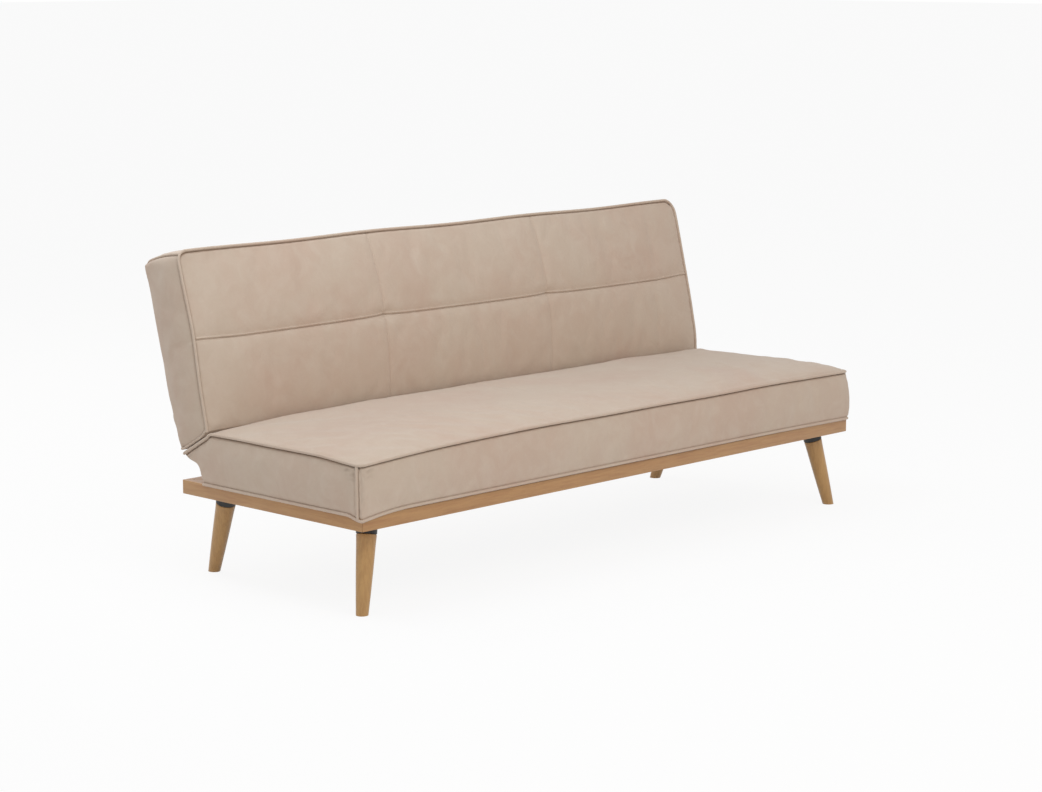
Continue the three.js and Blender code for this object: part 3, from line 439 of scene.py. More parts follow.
def ring_faces(rings, segments):
    """Faces between equal rings of points, with both ends closed"""
    faces = [
        (i * segments + j, i * segments + (j + 1) % segments,
         (i + 1) * segments + (j + 1) % segments, (i + 1) * segments + j)
        for i in range(rings - 1) for j in range(segments)
    ]
    faces.append(tuple(range(segments))[::-1])
    faces.append(tuple((rings - 1) * segments + j for j in range(segments)))
    return faces


def tube(name, route, radii, material, sides=12):
    """A covered cord along a route, with domed ends"""
    route = np.asarray(route, float)
    ahead = np.gradient(route, axis=0)
    ahead /= np.linalg.norm(ahead, axis=1)[:, None]
    normal = unit(np.cross(ahead[0], (0.31, 0.52, 0.79)))
    angles = np.arange(sides) * 2 * math.pi / sides
    rings = []
    domes = ((0.95, 0.35), (0.6, 0.8))
    for index, (point, direction, radius) in enumerate(zip(route, ahead, radii)):
        normal = unit(normal - direction * (normal @ direction))
        binormal = np.cross(direction, normal)
        circle = np.cos(angles)[:, None] * normal + np.sin(angles)[:, None] * binormal
        ring = [point + radius * circle]
        if index in (0, len(route) - 1):
            way = -1 if index == 0 else 1
            caps = [point + way * direction * radius * out + radius * share * circle
                    for share, out in domes]
            ring = caps[::-1] + ring if index == 0 else ring + caps
        rings += ring
    return new_object(name, np.concatenate(rings), ring_faces(len(rings), sides), material)


def eased_copy(node, edge, material, segments=3, angle=math.radians(28)):
    """A copy of a rigid solid with its edges eased, which stands for that solid"""
    source = frame["nodes"][node]
    mesh = bpy.data.meshes.new(f"{node}_eased")
    work = bmesh.new()
    work.from_mesh(source.data)
    bmesh.ops.remove_doubles(work, verts=work.verts, dist=0.02 * MM)
    bmesh.ops.dissolve_limit(
        work, angle_limit=math.radians(1), verts=work.verts, edges=work.edges,
    )
    sharp = [e for e in work.edges if len(e.link_faces) == 2 and e.calc_face_angle(0) > angle]
    bmesh.ops.bevel(
        work, geom=sharp, offset=edge, segments=segments, profile=0.5, affect="EDGES",
        clamp_overlap=True,
    )
    bmesh.ops.triangulate(work, faces=[f for f in work.faces if len(f.verts) > 4])
    work.to_mesh(mesh)
    work.free()
    mesh.materials.clear()
    mesh.materials.append(material)
    mesh.shade_smooth()
    mesh.set_sharp_from_angle(angle=math.radians(35))
    return in_scene(f"{node}_eased", mesh)


def finish_node(node, material):
    """Gives a solid of the frame its material"""
    data = frame["nodes"][node].data
    data.materials.clear()
    data.materials.append(material)


def seat_piece(piece, body, slot, *nodes):
    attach(piece, body)
    if nodes:
        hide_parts(*nodes)


# Cloth

CLOTH_SPACING = 14 * MM
CLOTH_FRAMES = 14
CLOTH_PRESSURE = 4.0
SWELLING_ROUNDS = 40
FOLD_FREE_SEAM = 22 * MM


def folds(shape, form):
    """Small folds of a filled cover, from a cloth simulation of a coarser copy of its form.
    The swelling as a whole is taken off again, because the form holds that already."""
    coarse = shape.form(CLOTH_SPACING, (0,))
    start = shape.filled(coarse)
    piece = new_object("cover_cloth", start, coarse.faces, MATERIALS["fabric"], smooth=False)
    held = piece.vertex_groups.new(name="held")
    held.add([int(i) for i in np.flatnonzero(shape.held(coarse))], 1.0, "REPLACE")
    cloth = piece.modifiers.new("cloth", "CLOTH")
    settings = cloth.settings
    settings.vertex_group_mass = "held"
    settings.use_pressure = True
    settings.uniform_pressure_force = CLOTH_PRESSURE
    settings.shrink_min = -shape.sizes.cover_slack
    settings.effector_weights.gravity = 0.0
    settings.quality = 5
    cloth.point_cache.frame_end = CLOTH_FRAMES
    scene = bpy.context.scene
    for number in range(1, CLOTH_FRAMES + 1):
        scene.frame_set(number)
    blown = piece.evaluated_get(bpy.context.evaluated_depsgraph_get())
    places = np.empty(3 * len(start))
    blown.data.vertices.foreach_get("co", places)
    moved = places.reshape(-1, 3) - start
    bpy.data.objects.remove(piece)
    scene.frame_set(1)
    fine = moved - coarse.relax(moved, np.ones(len(moved)), SWELLING_ROUNDS)
    most = shape.sizes.fold_height
    fine *= (most / (most + np.linalg.norm(fine, axis=1)))[:, None]
    clear = np.min([nearest_on(route, form.flat)[0] for route in shape.routes().values()], axis=0)
    free = 1 - fade(clear, FOLD_FREE_SEAM)
    return spread(coarse.flat, fine, form.flat) * free[:, None]


def spread(places, values, points):
    """Values known at some places, carried softly to other points"""
    tree = KDTree(len(places))
    for index, place in enumerate(places):
        tree.insert(place, index)
    tree.balance()
    result = np.zeros_like(points)
    for index, point in enumerate(points):
        found = tree.find_n(point, 7)
        near = [i for _, i, _ in found]
        weight = np.exp(-(np.array([d for _, _, d in found]) / (0.7 * CLOTH_SPACING)) ** 2)
        result[index] = weight @ values[near] / weight.sum()
    return result


# Materials

class Wire:
    """A shader value on which sums can be written"""

    def __init__(self, finish, socket):
        self.finish, self.socket = finish, socket

    def _with(self, operation, first, second):
        return self.finish.node("ShaderNodeMath", {"operation": operation}, {0: first, 1: second})

    def __add__(self, other):
        return self._with("ADD", self, other)

    __radd__ = __add__

    def __sub__(self, other):
        return self._with("SUBTRACT", self, other)

    def __rsub__(self, other):
        return self._with("SUBTRACT", other, self)

    def __mul__(self, other):
        return self._with("MULTIPLY", self, other)

    __rmul__ = __mul__


class Finish:
    """A material made of nodes, with the steps that the sofa's finishes share"""

    def __init__(self, name, **constants):
        self.material = bpy.data.materials.new(name)
        self.material.use_nodes = True
        self.tree = self.material.node_tree
        self.shader = self.tree.nodes["Principled BSDF"]
        for socket, value in constants.items():
            self.shader.inputs[socket.replace("_", " ")].default_value = value

    def node(self, kind, settings=None, inputs=None, output=0):
        node = self.tree.nodes.new(kind)
        for key, value in (settings or {}).items():
            if key == "stops":
                self._set_stops(node.color_ramp, value)
            else:
                setattr(node, key, value)
        for key, value in (inputs or {}).items():
            if isinstance(value, Wire):
                self.tree.links.new(value.socket, node.inputs[key])
            else:
                node.inputs[key].default_value = value
        return Wire(self, node.outputs[output])

    @staticmethod
    def _set_stops(ramp, stops):
        while len(ramp.elements) < len(stops):
            ramp.elements.new(0.5)
        for element, (place, level) in zip(ramp.elements, stops):
            element.position = place
            element.color = (level, level, level, 1)

    def place(self):
        return self.node("ShaderNodeTexCoord", output="Object")

    def noise(self, vector, scale, detail=3.0, roughness=0.55, distortion=0.0):
        inputs = {"Vector": vector, "Scale": scale, "Detail": detail, "Roughness": roughness,
                  "Distortion": distortion}
        return self.node("ShaderNodeTexNoise", inputs=inputs)

    def ramp(self, value, low, high):
        """The value stretched so that low becomes 0 and high becomes 1"""
        return self.node(
            "ShaderNodeValToRGB", {"stops": ((low, 0.0), (high, 1.0))}, {"Fac": value},
        )

    def mix(self, factor, first, second):
        """A blend of two colours, given as wires or as red, green and blue"""
        full = [c if isinstance(c, Wire) else (*c, 1) for c in (first, second)]
        return self.node(
            "ShaderNodeMix", {"data_type": "RGBA"},
            {0: factor, 6: full[0], 7: full[1]}, output=2,
        )

    def stretched(self, scale):
        return self.node("ShaderNodeMapping", inputs={"Vector": self.place(), "Scale": scale})

    def set(self, **links):
        for socket, wire in links.items():
            self.tree.links.new(wire.socket, self.shader.inputs[socket.replace("_", " ")])

    def bump(self, height, distance, strength=1.0):
        self.set(Normal=self.node(
            "ShaderNodeBump", inputs={"Height": height, "Distance": distance, "Strength": strength},
        ))


def velour(name, base, shade, light, depth):
    """Short brushed pile: soft cloudy patches, a fine grain, a faint sheen, and painted shade darkening
    its creases and seam grooves
    """
    f = Finish(name, Roughness=0.88, Sheen_Weight=0.32, Sheen_Roughness=0.42,
               Specular_IOR_Level=0.22)
    place = f.place()
    clouds = f.noise(place, 3.4, 3.0, 0.55, 0.7)
    brushed = f.noise(place, 17.0, 4.0, 0.62, 1.1)
    flecks = f.noise(place, 120.0, 3.0, 0.65)
    grain = f.noise(place, 640.0, 2.0, 0.7)
    tone = f.mix(f.ramp(clouds, 0.38, 0.64) * 0.5, base, shade)
    tone = f.mix(f.ramp(brushed, 0.44, 0.74) * 0.42, tone, light)
    tone = f.mix(f.ramp(flecks, 0.35, 0.7) * 0.14, tone, shade)
    tone = f.mix(f.ramp(grain, 0.3, 0.75) * 0.22, tone, light)
    # Painted shade: the mesh's crease mask darkens the velour towards the dark colour in seam grooves
    # and creases
    crease = f.node("ShaderNodeAttribute", {"attribute_name": "crease"}, output="Fac")
    f.set(Base_Color=f.mix(crease * 0.85, tone, depth), Roughness=0.8 + 0.14 * flecks)
    f.bump(grain * 0.6 + flecks * 0.5 + brushed * 0.3, 0.35 * MM, 0.6)
    return f.material


def wood(name, base, grain_colour, along, ring=1.0, roughness=0.42, coat=0.12):
    """Wood with long grain: along gives how slowly the grain changes on each axis"""
    f = Finish(name, Roughness=roughness, Coat_Weight=coat, Coat_Roughness=0.35)
    slow = f.stretched([1.6 * a for a in along])
    figure = f.noise(slow, 1.0, 3.0, 0.5, 0.6)
    lines = f.noise(f.stretched([11.0 * a for a in along]), 1.0, 4.0, 0.62, 0.25)
    pores = f.noise(f.stretched([58.0 * a for a in along]), 1.0, 2.0, 0.55)
    warp = figure * (14.0 * ring)
    rings = f.node("ShaderNodeMath", {"operation": "SINE"}, {0: warp})
    dark = f.ramp(lines, 0.42, 0.72) * 0.55 + (0.5 + 0.5 * rings) * 0.18
    tone = f.mix(dark, base, grain_colour)
    tone = f.mix(f.ramp(pores, 0.56, 0.72) * 0.4, tone, grain_colour)
    f.set(Base_Color=tone, Roughness=roughness - 0.06 + 0.16 * lines)
    f.bump(lines * 0.5 + pores * 0.5, 0.22 * MM, 0.5)
    return f.material


def metal(name, tone, dull, roughness):
    """Plated or blued metal with faint smears and fine scratches"""
    f = Finish(name, Metallic=1.0, Roughness=roughness)
    smears = f.noise(f.place(), 70.0, 4.0, 0.6, 0.5)
    scratches = f.noise(f.stretched((900, 60, 60)), 1.0, 2.0, 0.5)
    f.set(
        Base_Color=f.mix(f.ramp(smears, 0.35, 0.75), tone, dull),
        Roughness=roughness - 0.08 + 0.2 * smears + 0.08 * scratches,
    )
    f.bump(scratches, 0.05 * MM, 0.4)
    return f.material


def moulded(name, tone, roughness=0.46):
    """Moulded plastic with a fine spark-eroded grain"""
    f = Finish(name, Roughness=roughness, Specular_IOR_Level=0.45)
    grain = f.noise(f.place(), 900.0, 2.0, 0.6)
    cloud = f.noise(f.place(), 40.0, 3.0, 0.6)
    grey = [c + 0.02 for c in tone]
    f.set(Base_Color=f.mix(f.ramp(cloud, 0.3, 0.75), tone, grey),
          Roughness=roughness - 0.05 + 0.14 * grain)
    f.bump(grain, 0.06 * MM, 0.5)
    return f.material


def non_woven(name, tone, scale=420.0):
    """Pressed or woven plain cloth with visible threads"""
    f = Finish(name, Roughness=0.92, Specular_IOR_Level=0.2)
    threads = f.noise(f.stretched((scale, scale * 1.6, scale)), 1.0, 3.0, 0.7)
    light = [min(1.0, c * 1.9 + 0.01) for c in tone]
    f.set(Base_Color=f.mix(f.ramp(threads, 0.38, 0.72) * 0.7, tone, light),
          Roughness=0.84 + 0.12 * threads)
    f.bump(threads, 0.2 * MM, 0.6)
    return f.material


MATERIALS = {}


def make_materials(colours):
    """Fills the list of the sofa's materials"""
    beech = (colours.frame_wood, colours.frame_grain)
    pine = (colours.pine, colours.pine_grain)
    MATERIALS.update({
        "fabric": velour("fabric", colours.fabric, colours.fabric_shade, colours.fabric_light,
                         colours.fabric_crease_shade),
        "beech_x": wood("beech_along_x", *beech, (0.9, 14, 14)),
        "beech_y": wood("beech_along_y", *beech, (14, 0.9, 14)),
        "legs": wood("leg_wood", colours.leg_wood, colours.leg_grain, (16, 16, 1.3), 1.2, 0.38, 0.2),
        "pine_x": wood("pine_along_x", *pine, (0.8, 10, 10), 1.6, 0.66, 0.0),
        "pine_y": wood("pine_along_y", *pine, (10, 0.8, 10), 1.6, 0.66, 0.0),
        "pine_z": wood("pine_along_z", *pine, (10, 10, 0.8), 1.6, 0.66, 0.0),
        "plastic": moulded("collar_plastic", colours.plastic),
        "sheet": non_woven("dust_sheet_cloth", colours.sheet),
        "webbing": non_woven("strap_webbing", colours.webbing, 260.0),
        "steel": metal("zinc_steel", colours.steel, [c * 0.72 for c in colours.steel], 0.34),
        "spring": metal("blued_steel", colours.spring_steel,
                        [c * 0.6 for c in colours.spring_steel], 0.38),
        "foam": moulded("foam", (0.75, 0.7, 0.45), 0.9),
    })


# Wooden frame and legs

class SOFA_OT_frame(bpy.types.Operator):
    """Gives the mitred rails and the bearers eased edges and a long beech grain"""

    bl_idname = "sofa.make_frame"
    bl_label = "Wooden frame"

    def execute(self, context):
        edge = context.scene.sofa_sizes.wood_edge
        rails = {
            "front_rail": "beech_x", "rear_rail": "beech_x",
            "left_end_rail": "beech_y", "right_end_rail": "beech_y",
            "cross_bearer_left": "beech_y", "cross_bearer_right": "beech_y",
        }
        for node, grain in rails.items():
            piece = eased_copy(node, edge, MATERIALS[grain])
            seat_piece(piece, "base", "frame_wood", node)
        return {"FINISHED"}


def turned_points(profile, foot, axis, segments):
    """Points of a turned form: rings of radius and height about an axis from a foot"""
    across = unit(np.cross(axis, (0, 1, 0)))
    third = np.cross(axis, across)
    angles = np.arange(segments) * 2 * math.pi / segments
    circle = np.cos(angles)[:, None] * across + np.sin(angles)[:, None] * third
    return np.array([foot + axis * height + radius * circle for radius, height in profile])


class SOFA_OT_legs(bpy.types.Operator):
    """Turns the tapered legs and their black collars, and finishes their bolts"""

    bl_idname = "sofa.make_legs"
    bl_label = "Legs and collars"

    def execute(self, context):
        segments = 56
        for corner in CORNERS:
            foot, axis, reach, foot_radius, top_radius = self.turning(f"leg_{corner}")
            leg = self.leg_profile(reach, foot_radius, top_radius)
            points = turned_points(leg, foot, axis, segments).reshape(-1, 3)
            points -= (np.minimum(points[:, 2], 0) / axis[2])[:, None] * axis
            piece = new_object(
                f"turned_leg_{corner}", points, ring_faces(len(leg), segments), MATERIALS["legs"],
            )
            piece.data.set_sharp_from_angle(angle=math.radians(40))
            seat_piece(piece, "base", "leg_wood", f"leg_{corner}")
            self.collar(corner, foot, axis, reach, top_radius, segments)
            finish_node(f"leg_bolt_{corner}", MATERIALS["steel"])
        return {"FINISHED"}

    @staticmethod
    def turning(node):
        """Foot, axis, length, foot radius and greatest radius of a leg"""
        mesh = frame["nodes"][node].data
        points = np.array([v.co for v in mesh.vertices])
        axis = unit(sum(np.array(f.normal) * f.area for f in mesh.polygons if f.normal.z > 0.9))
        ring = points[points[:, 2] < 0.1 * MM]
        foot = (ring.max(0) + ring.min(0)) / 2
        along = (points - foot) @ axis
        away = np.linalg.norm(points - foot - along[:, None] * axis, axis=1)
        return foot, axis, along.max(), away[points[:, 2] < 0.1 * MM].mean(), away.max()

    @staticmethod
    def leg_profile(reach, foot, top):
        edge = 1.5 * MM
        profile = [(foot - 2 * edge, -foot), (foot, -foot), (foot, 0), (foot + 0.3 * MM, 4 * MM)]
        for share in np.linspace(0.08, 0.85, 14):
            swell = 0.5 * MM * math.sin(share / 0.85 * math.pi)
            profile.append((foot + (top - edge - foot) * share / 0.85 + swell, reach * share))
        profile += [(top - 0.5 * edge, reach * 0.93), (top, reach - 2 * edge),
                    (top - 0.3 * edge, reach - 0.5 * edge), (top - edge, reach)]
        return profile

    @staticmethod
    def collar(corner, foot, axis, reach, leg_radius, segments):
        radius, edge = leg_radius + 0.5 * MM, 1.2 * MM
        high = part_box(f"leg_collar_{corner}")[1].z
        start = reach + 0.3 * MM
        profile = [(radius - 2.6 * edge, start), (radius - edge, start + 0.2 * edge),
                   (radius, start + edge), (radius, start + 12 * MM), (radius, start + 45 * MM)]
        points = turned_points(profile, foot, axis, segments)
        slope = (high - points[-1][:, 2]) / axis[2]
        points[-1] += slope[:, None] * axis
        piece = new_object(
            f"moulded_collar_{corner}", points.reshape(-1, 3), ring_faces(len(profile), segments),
            MATERIALS["plastic"],
        )
        piece.data.set_sharp_from_angle(angle=math.radians(50))
        seat_piece(piece, "base", "collar_plastic", f"leg_collar_{corner}")


# Seat cushion, in the frame's own place

NOSE_TIP = (309, 53.7)
NOSE_BELLY = (288, 67)
NOSE_ROOT = (257, 72.5)
BEVEL_Y = 213
SEAT_REAR_Y = 237
ROLL_REACH = 24 * MM
ROLL_FOOT = 0.13
CONTACT_GAP = 0.3 * MM
SLOT_X = (770.5 * MM, 790.1 * MM)
SLOT_FRONT_Y = 253 * MM

# Lines along the seat's front: height in the middle, dip at the left corner, how far along the
# seat that dip reaches, and fall to the right corner
SEAM_LINE = (16, 16, 600, 5)
HEM_LINE = (9, 14, 160, 3)
SEAT_FULLNESS = ((-902, -4.5), (0, 0), (450, 2), (700, 5), (902, 9))
END_LIFT = (7, 8)
HEM_END_LIFT = (4, 6)
END_BOW = (1.5, 15)
RIGHT_OVERHANG = 4 * MM
CORNER_ROUND = 16 * MM
CORNER_SEAM = 13 * MM

# Creases in the left end panel, as y behind the front and z under the top, and their depths
END_PLEATS = (
    ((18, 21), (52, 13), 3), ((20, 34), (44, 30), 1.5), ((648, 36), (676, 55), 3),
    ((630, 50), (655, 74), 3), ((598, 50), (622, 62), 1.5),
)
# Creases in the front panel, as x from the left corner and z under the top
FRONT_PLEATS = (((7, 19), (40, 11), 2.6), ((9, 31), (34, 26), 1.4))


class SeatShape:
    """Sizes and outline of the seat cushion, worked out once"""

    def __init__(self, sizes, seed):
        self.sizes, self.seed = sizes, seed
        self.half = HALF_LENGTH + sizes.seat_overhang
        self.front = FRAME_FRONT_Y - sizes.seat_overhang
        self.top = FRAME_TOP_Z + sizes.seat_thickness
        self.foot = FRAME_TOP_Z - sizes.seat_skirt
        self.bevel = FRAME_MIDDLE_Y + BEVEL_Y * MM
        tip, belly, root = [(FRAME_MIDDLE_Y + y * MM, self.top - z * MM)
                            for y, z in (NOSE_TIP, NOSE_BELLY, NOSE_ROOT)]
        self.rear = FRAME_MIDDLE_Y + SEAT_REAR_Y * MM
        outline = rounded(
            [(self.front, self.top), (self.bevel, self.top), tip, belly, root,
             (self.rear, self.foot)],
            (9 * MM, 5 * MM, 9 * MM, 12 * MM),
        )
        self.over_path, under = split_near(outline, tip)
        self.rear_path = under[::-1]
        self.tip = tuple(self.over_path[-1])

    def form(self, spacing=10 * MM, steps=SEAM_STEPS):
        marks = [(x, steps) for x in (-self.half, self.half)]
        if len(steps) > 1:
            marks += [(side * x, CUT_STEPS) for side in (-1, 1) for x in SLOT_X]
        columns = graded(-self.half, self.half, marks, spacing)
        tall = self.top - self.foot
        up = graded(0, tall, [(0, steps), (tall, steps)], 0.7 * spacing) / tall
        deep = run_along(self.over_path)[-1]
        self.corner = CORNER_SEAM / deep
        marks = [(place, steps) for place in (0, CORNER_SEAM, self.bevel - self.front)]
        marks.append((deep, steps[::3]))
        over = graded(0, deep, marks, spacing) / deep
        front = resample(np.array([(self.front, self.foot), (self.front, self.top)]), up)
        foot = resample(np.array([(self.front, self.foot), (self.rear, self.foot)]), over)
        return PaddedForm(
            columns, front, resample(self.over_path, over), resample(self.rear_path, up), foot,
            up, over,
        )

    def firm(self, x):
        """Share of its fullness that the seat reaches at each place along its length"""
        power = np.where(x < 0, 16, 40)
        return np.sqrt(1 - np.abs(np.clip(x / self.half, -1, 1)) ** power)

    def roll(self, x, y):
        """Share of its height that the top keeps where it rolls over to the slope behind"""
        before = self.bevel + 4 * MM * (1 - self.firm(x)) - y
        share = np.clip(before / ROLL_REACH, 0, 1)
        slope = np.clip((self.tip[0] - y) / (self.tip[0] - self.bevel), 0, 1)
        rolled = ROLL_FOOT + (1 - ROLL_FOOT) * np.sqrt(1 - (1 - share) ** 2)
        return np.where(before > 0, rolled, ROLL_FOOT * slope)

    def front_line(self, x, line):
        """Height of a line along the front: it dips at the left corner and falls to the right one"""
        level, dip, reach, fall = np.array(line) * MM
        left = 1 - np.clip((x + self.half) / reach, 0, 1)
        right = np.clip(2 * x / self.half - 1, 0, 1)
        return level - dip * left ** 2 - fall * right ** 2

    def seam_lift(self, x, y):
        """How far the top's seams, and the top between them, stand above the front corner"""
        deep = 1 - fade(y - self.front, 0.3 * (self.bevel - self.front))
        left = END_LIFT[0] * MM * deep
        right = (END_LIFT[1] * MM - self.front_line(self.half, SEAM_LINE)) * deep
        ends = ((self.half - x) * left + (self.half + x) * right) / (2 * self.half)
        return (self.front_line(x, SEAM_LINE) + ends) * self.roll(x, y)

    def hem_lift(self, x, y):
        front = self.front_line(x, HEM_LINE)
        end = np.where(x < 0, HEM_END_LIFT[0], HEM_END_LIFT[1]) * MM
        return end + (front - end) * fade(y - self.front, 55 * MM)

    def carried(self, points):
        """How the cover is drawn from its flat form, panels and seams alike"""
        x, y, z = points.T
        sizes = self.sizes
        height = np.clip((z - self.foot) / (self.top - self.foot), 0, 1)
        at_front = fade(y - self.front, 130 * MM)
        at_ends = fade(self.half - np.abs(x), 65 * MM)
        moved = np.zeros_like(points)
        across = np.abs(x) - (self.half - CORNER_ROUND)
        beyond = self.front + CORNER_ROUND - y
        low = np.where(x < 0, 0.2, 0.7)
        pull = corner_pull(across, beyond) * (low + (1 - low) * (1 - fade(height, 0.4)))
        bow = np.where(x < 0, *END_BOW) * MM * np.sin(math.pi * height ** 0.8) ** 0.7
        bow += np.where(x < 0, 0, RIGHT_OVERHANG) * (1 - height)
        moved[:, 0] = np.sign(x) * (across * pull + bow * at_ends)
        moved[:, 1] = sizes.seat_setback * (1 - (1 - height) ** 1.85) * at_front - beyond * pull
        moved[:, 2] = self.hem_lift(x, y) * (1 - height) + self.seam_lift(x, y) * height
        free = 1 - fade(z - self.foot, 60 * MM)
        return moved + drift(points, self.seed, sizes.cover_drift) * free[:, None]

    def crown(self, x, y):
        """How far the top swells above its seams: rolled at its edges, full in the middle"""
        firm = self.firm(x)
        front = (1 - (1 - np.clip((y - self.front) / (200 * MM), 0, 1)) ** 3) ** 0.58
        worn = 0.85 + 0.15 * fade(y - self.bevel + 180 * MM, 150 * MM)
        full = firm * (self.sizes.seat_crown + eased_table(SEAT_FULLNESS, x))
        slope = np.clip((y - self.bevel) / (self.tip[0] - self.bevel), 0, 1)
        return full * front * worn * self.roll(x, y) + 3 * MM * firm * np.sin(math.pi * slope)

    def filled(self, form):
        """The padded form, without its seams and folds"""
        sizes, flat, on = self.sizes, form.flat, form.panels
        x, y, z = flat.T
        points = flat + self.carried(flat)
        points[:, 2] += np.where(on["top"], self.crown(x, y), 0)
        height = np.clip((z - self.foot) / (self.top - self.foot), 0, 1)
        swell = sizes.seat_front_bulge * np.sin(math.pi * height) ** 0.8 * self.firm(x)
        points[:, 1] -= np.where(on["front"], swell, 0)
        s, t = form.end_share.T
        fullness = (1 - np.abs(2 * s - 1) ** 3) * (1 - np.abs(2 * t - 1) ** 2.4)
        points[:, 0] += np.sign(x) * sizes.seat_side_bulge * fullness
        points = self.rest_on_frame(points, flat, on)
        return form.relax(points, self.loose_edges(flat, on), 14)

    def rest_on_frame(self, points, flat, on):
        """The foot panel lies on the frame, behind the skirt"""
        x, y = flat[:, 0], flat[:, 1]
        inside = np.minimum(y - self.front, self.half - np.abs(x))
        level = FRAME_TOP_Z + CONTACT_GAP
        hem = self.foot + self.hem_lift(x, y)
        above = fade(inside, 8 * MM)
        hanging = fade(np.clip(inside - 1.2 * MM, 0, None), 0.8 * MM)
        lying = on["foot"] & ~on["front"] & ~on["left"] & ~on["right"]
        rest = level + (hem - level) * np.where(hem > level, above, hanging)
        hollow = np.clip((inside - 62 * MM) / (14 * MM), 0, 1)
        hollow *= np.clip((self.rear - 60 * MM - y) / (14 * MM), 0, 1)
        points[:, 2] = np.where(lying, rest + hollow * 12 * MM, points[:, 2])
        return points

    def loose_edges(self, flat, on):
        """Where the cover folds over an edge that has no piping"""
        edge = self.rear_path[::3]
        distance = np.linalg.norm(flat[:, None, 1:] - edge[None], axis=2).min(1)
        distance += self.half - np.abs(flat[:, 0])
        return np.where(on["rear"] | on["left"] | on["right"], fade(distance, 26 * MM), 0)

    def held(self, form):
        """Where the cover is sewn or lies on wood, so that it can't fold"""
        on = form.panels
        seams = (on["front"] | on["left"] | on["right"]) & on["top"]
        corner = (on["left"] | on["right"]) & (np.abs(form.end_share[:, 0] - self.corner) < 1e-3)
        return seams | corner | on["foot"] | (on["rear"] & (form.flat[:, 2] < self.foot + 30 * MM))

    def routes(self):
        """The piped seams, in the flat form"""
        half, front = self.half, self.front
        routes = {"top_front": np.array([(-half, front, self.top), (half, front, self.top)])}
        for side, sign in SIDES:
            x = sign * half
            places = np.full(len(self.over_path), x)
            routes[f"top_{side}"] = np.column_stack([places, self.over_path])
            corner = front + CORNER_SEAM
            routes[f"corner_{side}"] = np.array([(x, corner, self.foot), (x, corner, self.top)])
            routes[f"hem_{side}"] = np.array([(x, front, self.foot), (x, self.rear, self.foot)])
        routes["hem_front"] = np.array([(-half, front, self.foot), (half, front, self.foot)])
        return routes

    def seams(self, form):
        depth, seed = self.sizes.groove_depth, self.seed
        routes = self.routes()
        inward = {"front": (0, 1, 0), "top": (0, 0, -1), "foot": (0, 0, 0)}
        for side, sign in SIDES:
            inward[side] = (-sign, 0, 0)
        total = np.zeros_like(form.flat)
        plan = [
            ("top_front", "front", "top", depth, 0.3 * MM),
            ("hem_front", "front", "foot", 1.5 * MM, 0),
        ]
        for side, _ in SIDES:
            plan += [
                (f"top_{side}", side, "top", depth, 0.3 * MM),
                (f"corner_{side}", side, "front", 0.45 * depth, 0),
                (f"hem_{side}", side, "foot", 1.5 * MM, 0),
            ]
        for index, (route, first, second, first_depth, second_depth) in enumerate(plan):
            total += sew(
                form, routes[route], (first, inward[first]), (second, inward[second]),
                (first_depth, second_depth), seed + 3 * index,
            )
        left, front, top = -self.half, self.front, self.top
        lines = [[(left, front + y * MM, top - z * MM) for y, z in line[:2]] + [line[2] * MM]
                 for line in END_PLEATS]
        total[:, 0] += pleats(form, "left", lines)
        lines = [[(left + x * MM, front, top - z * MM) for x, z in line[:2]] + [line[2] * MM]
                 for line in FRONT_PLEATS]
        total[:, 1] += pleats(form, "front", lines)
        return total

    def cut_slots(self, points, flat):
        """Slots through the nose, in which the hinges swing"""
        front = FRAME_MIDDLE_Y + SLOT_FRONT_Y
        place = np.abs(flat[:, 0])
        inside = (place > SLOT_X[0]) & (place < SLOT_X[1]) & (points[:, 1] > front)
        points[inside, 1] = front
        return points

    @staticmethod
    def placed(points):
        """The seat is drawn where it lies"""
        return points


class SOFA_OT_seat(bpy.types.Operator):
    """Makes the padded seat: crowned top, boxed sides, drawn-in seams and a folded nose"""

    bl_idname = "sofa.make_seat"
    bl_label = "Seat cushion"

    def execute(self, context):
        shape = SeatShape(context.scene.sofa_sizes, context.scene.sofa_studio.seed)
        form = shape.form()
        points = shape.filled(form) + folds(shape, form) + shape.seams(form)
        points = shape.cut_slots(points, form.flat)
        piece = new_object(
            "seat_cushion", points, form.faces, MATERIALS["fabric"], crease=form.crease,
        )
        seat_piece(piece, "base", "cushion_fabric", "seat_cover", "seat_foam")
        return {"FINISHED"}


def piping(name, shape, route, outward, radius, seed, spacing=4 * MM):
    """Covered cord on a seam: its route is carried with the cover and stands a little outward"""
    run = run_along(route)
    shares = np.linspace(0, 1, max(2, math.ceil(run[-1] / spacing)) + 1)
    places = resample(route, shares)
    moved = places + shape.carried(places) + resample(outward, shares)
    radii = radius * (1 + 0.035 * waves(shares * run[-1], seed, (0.011, 0.019, 0.043)))
    return tube(name, shape.placed(moved), radii, MATERIALS["fabric"])


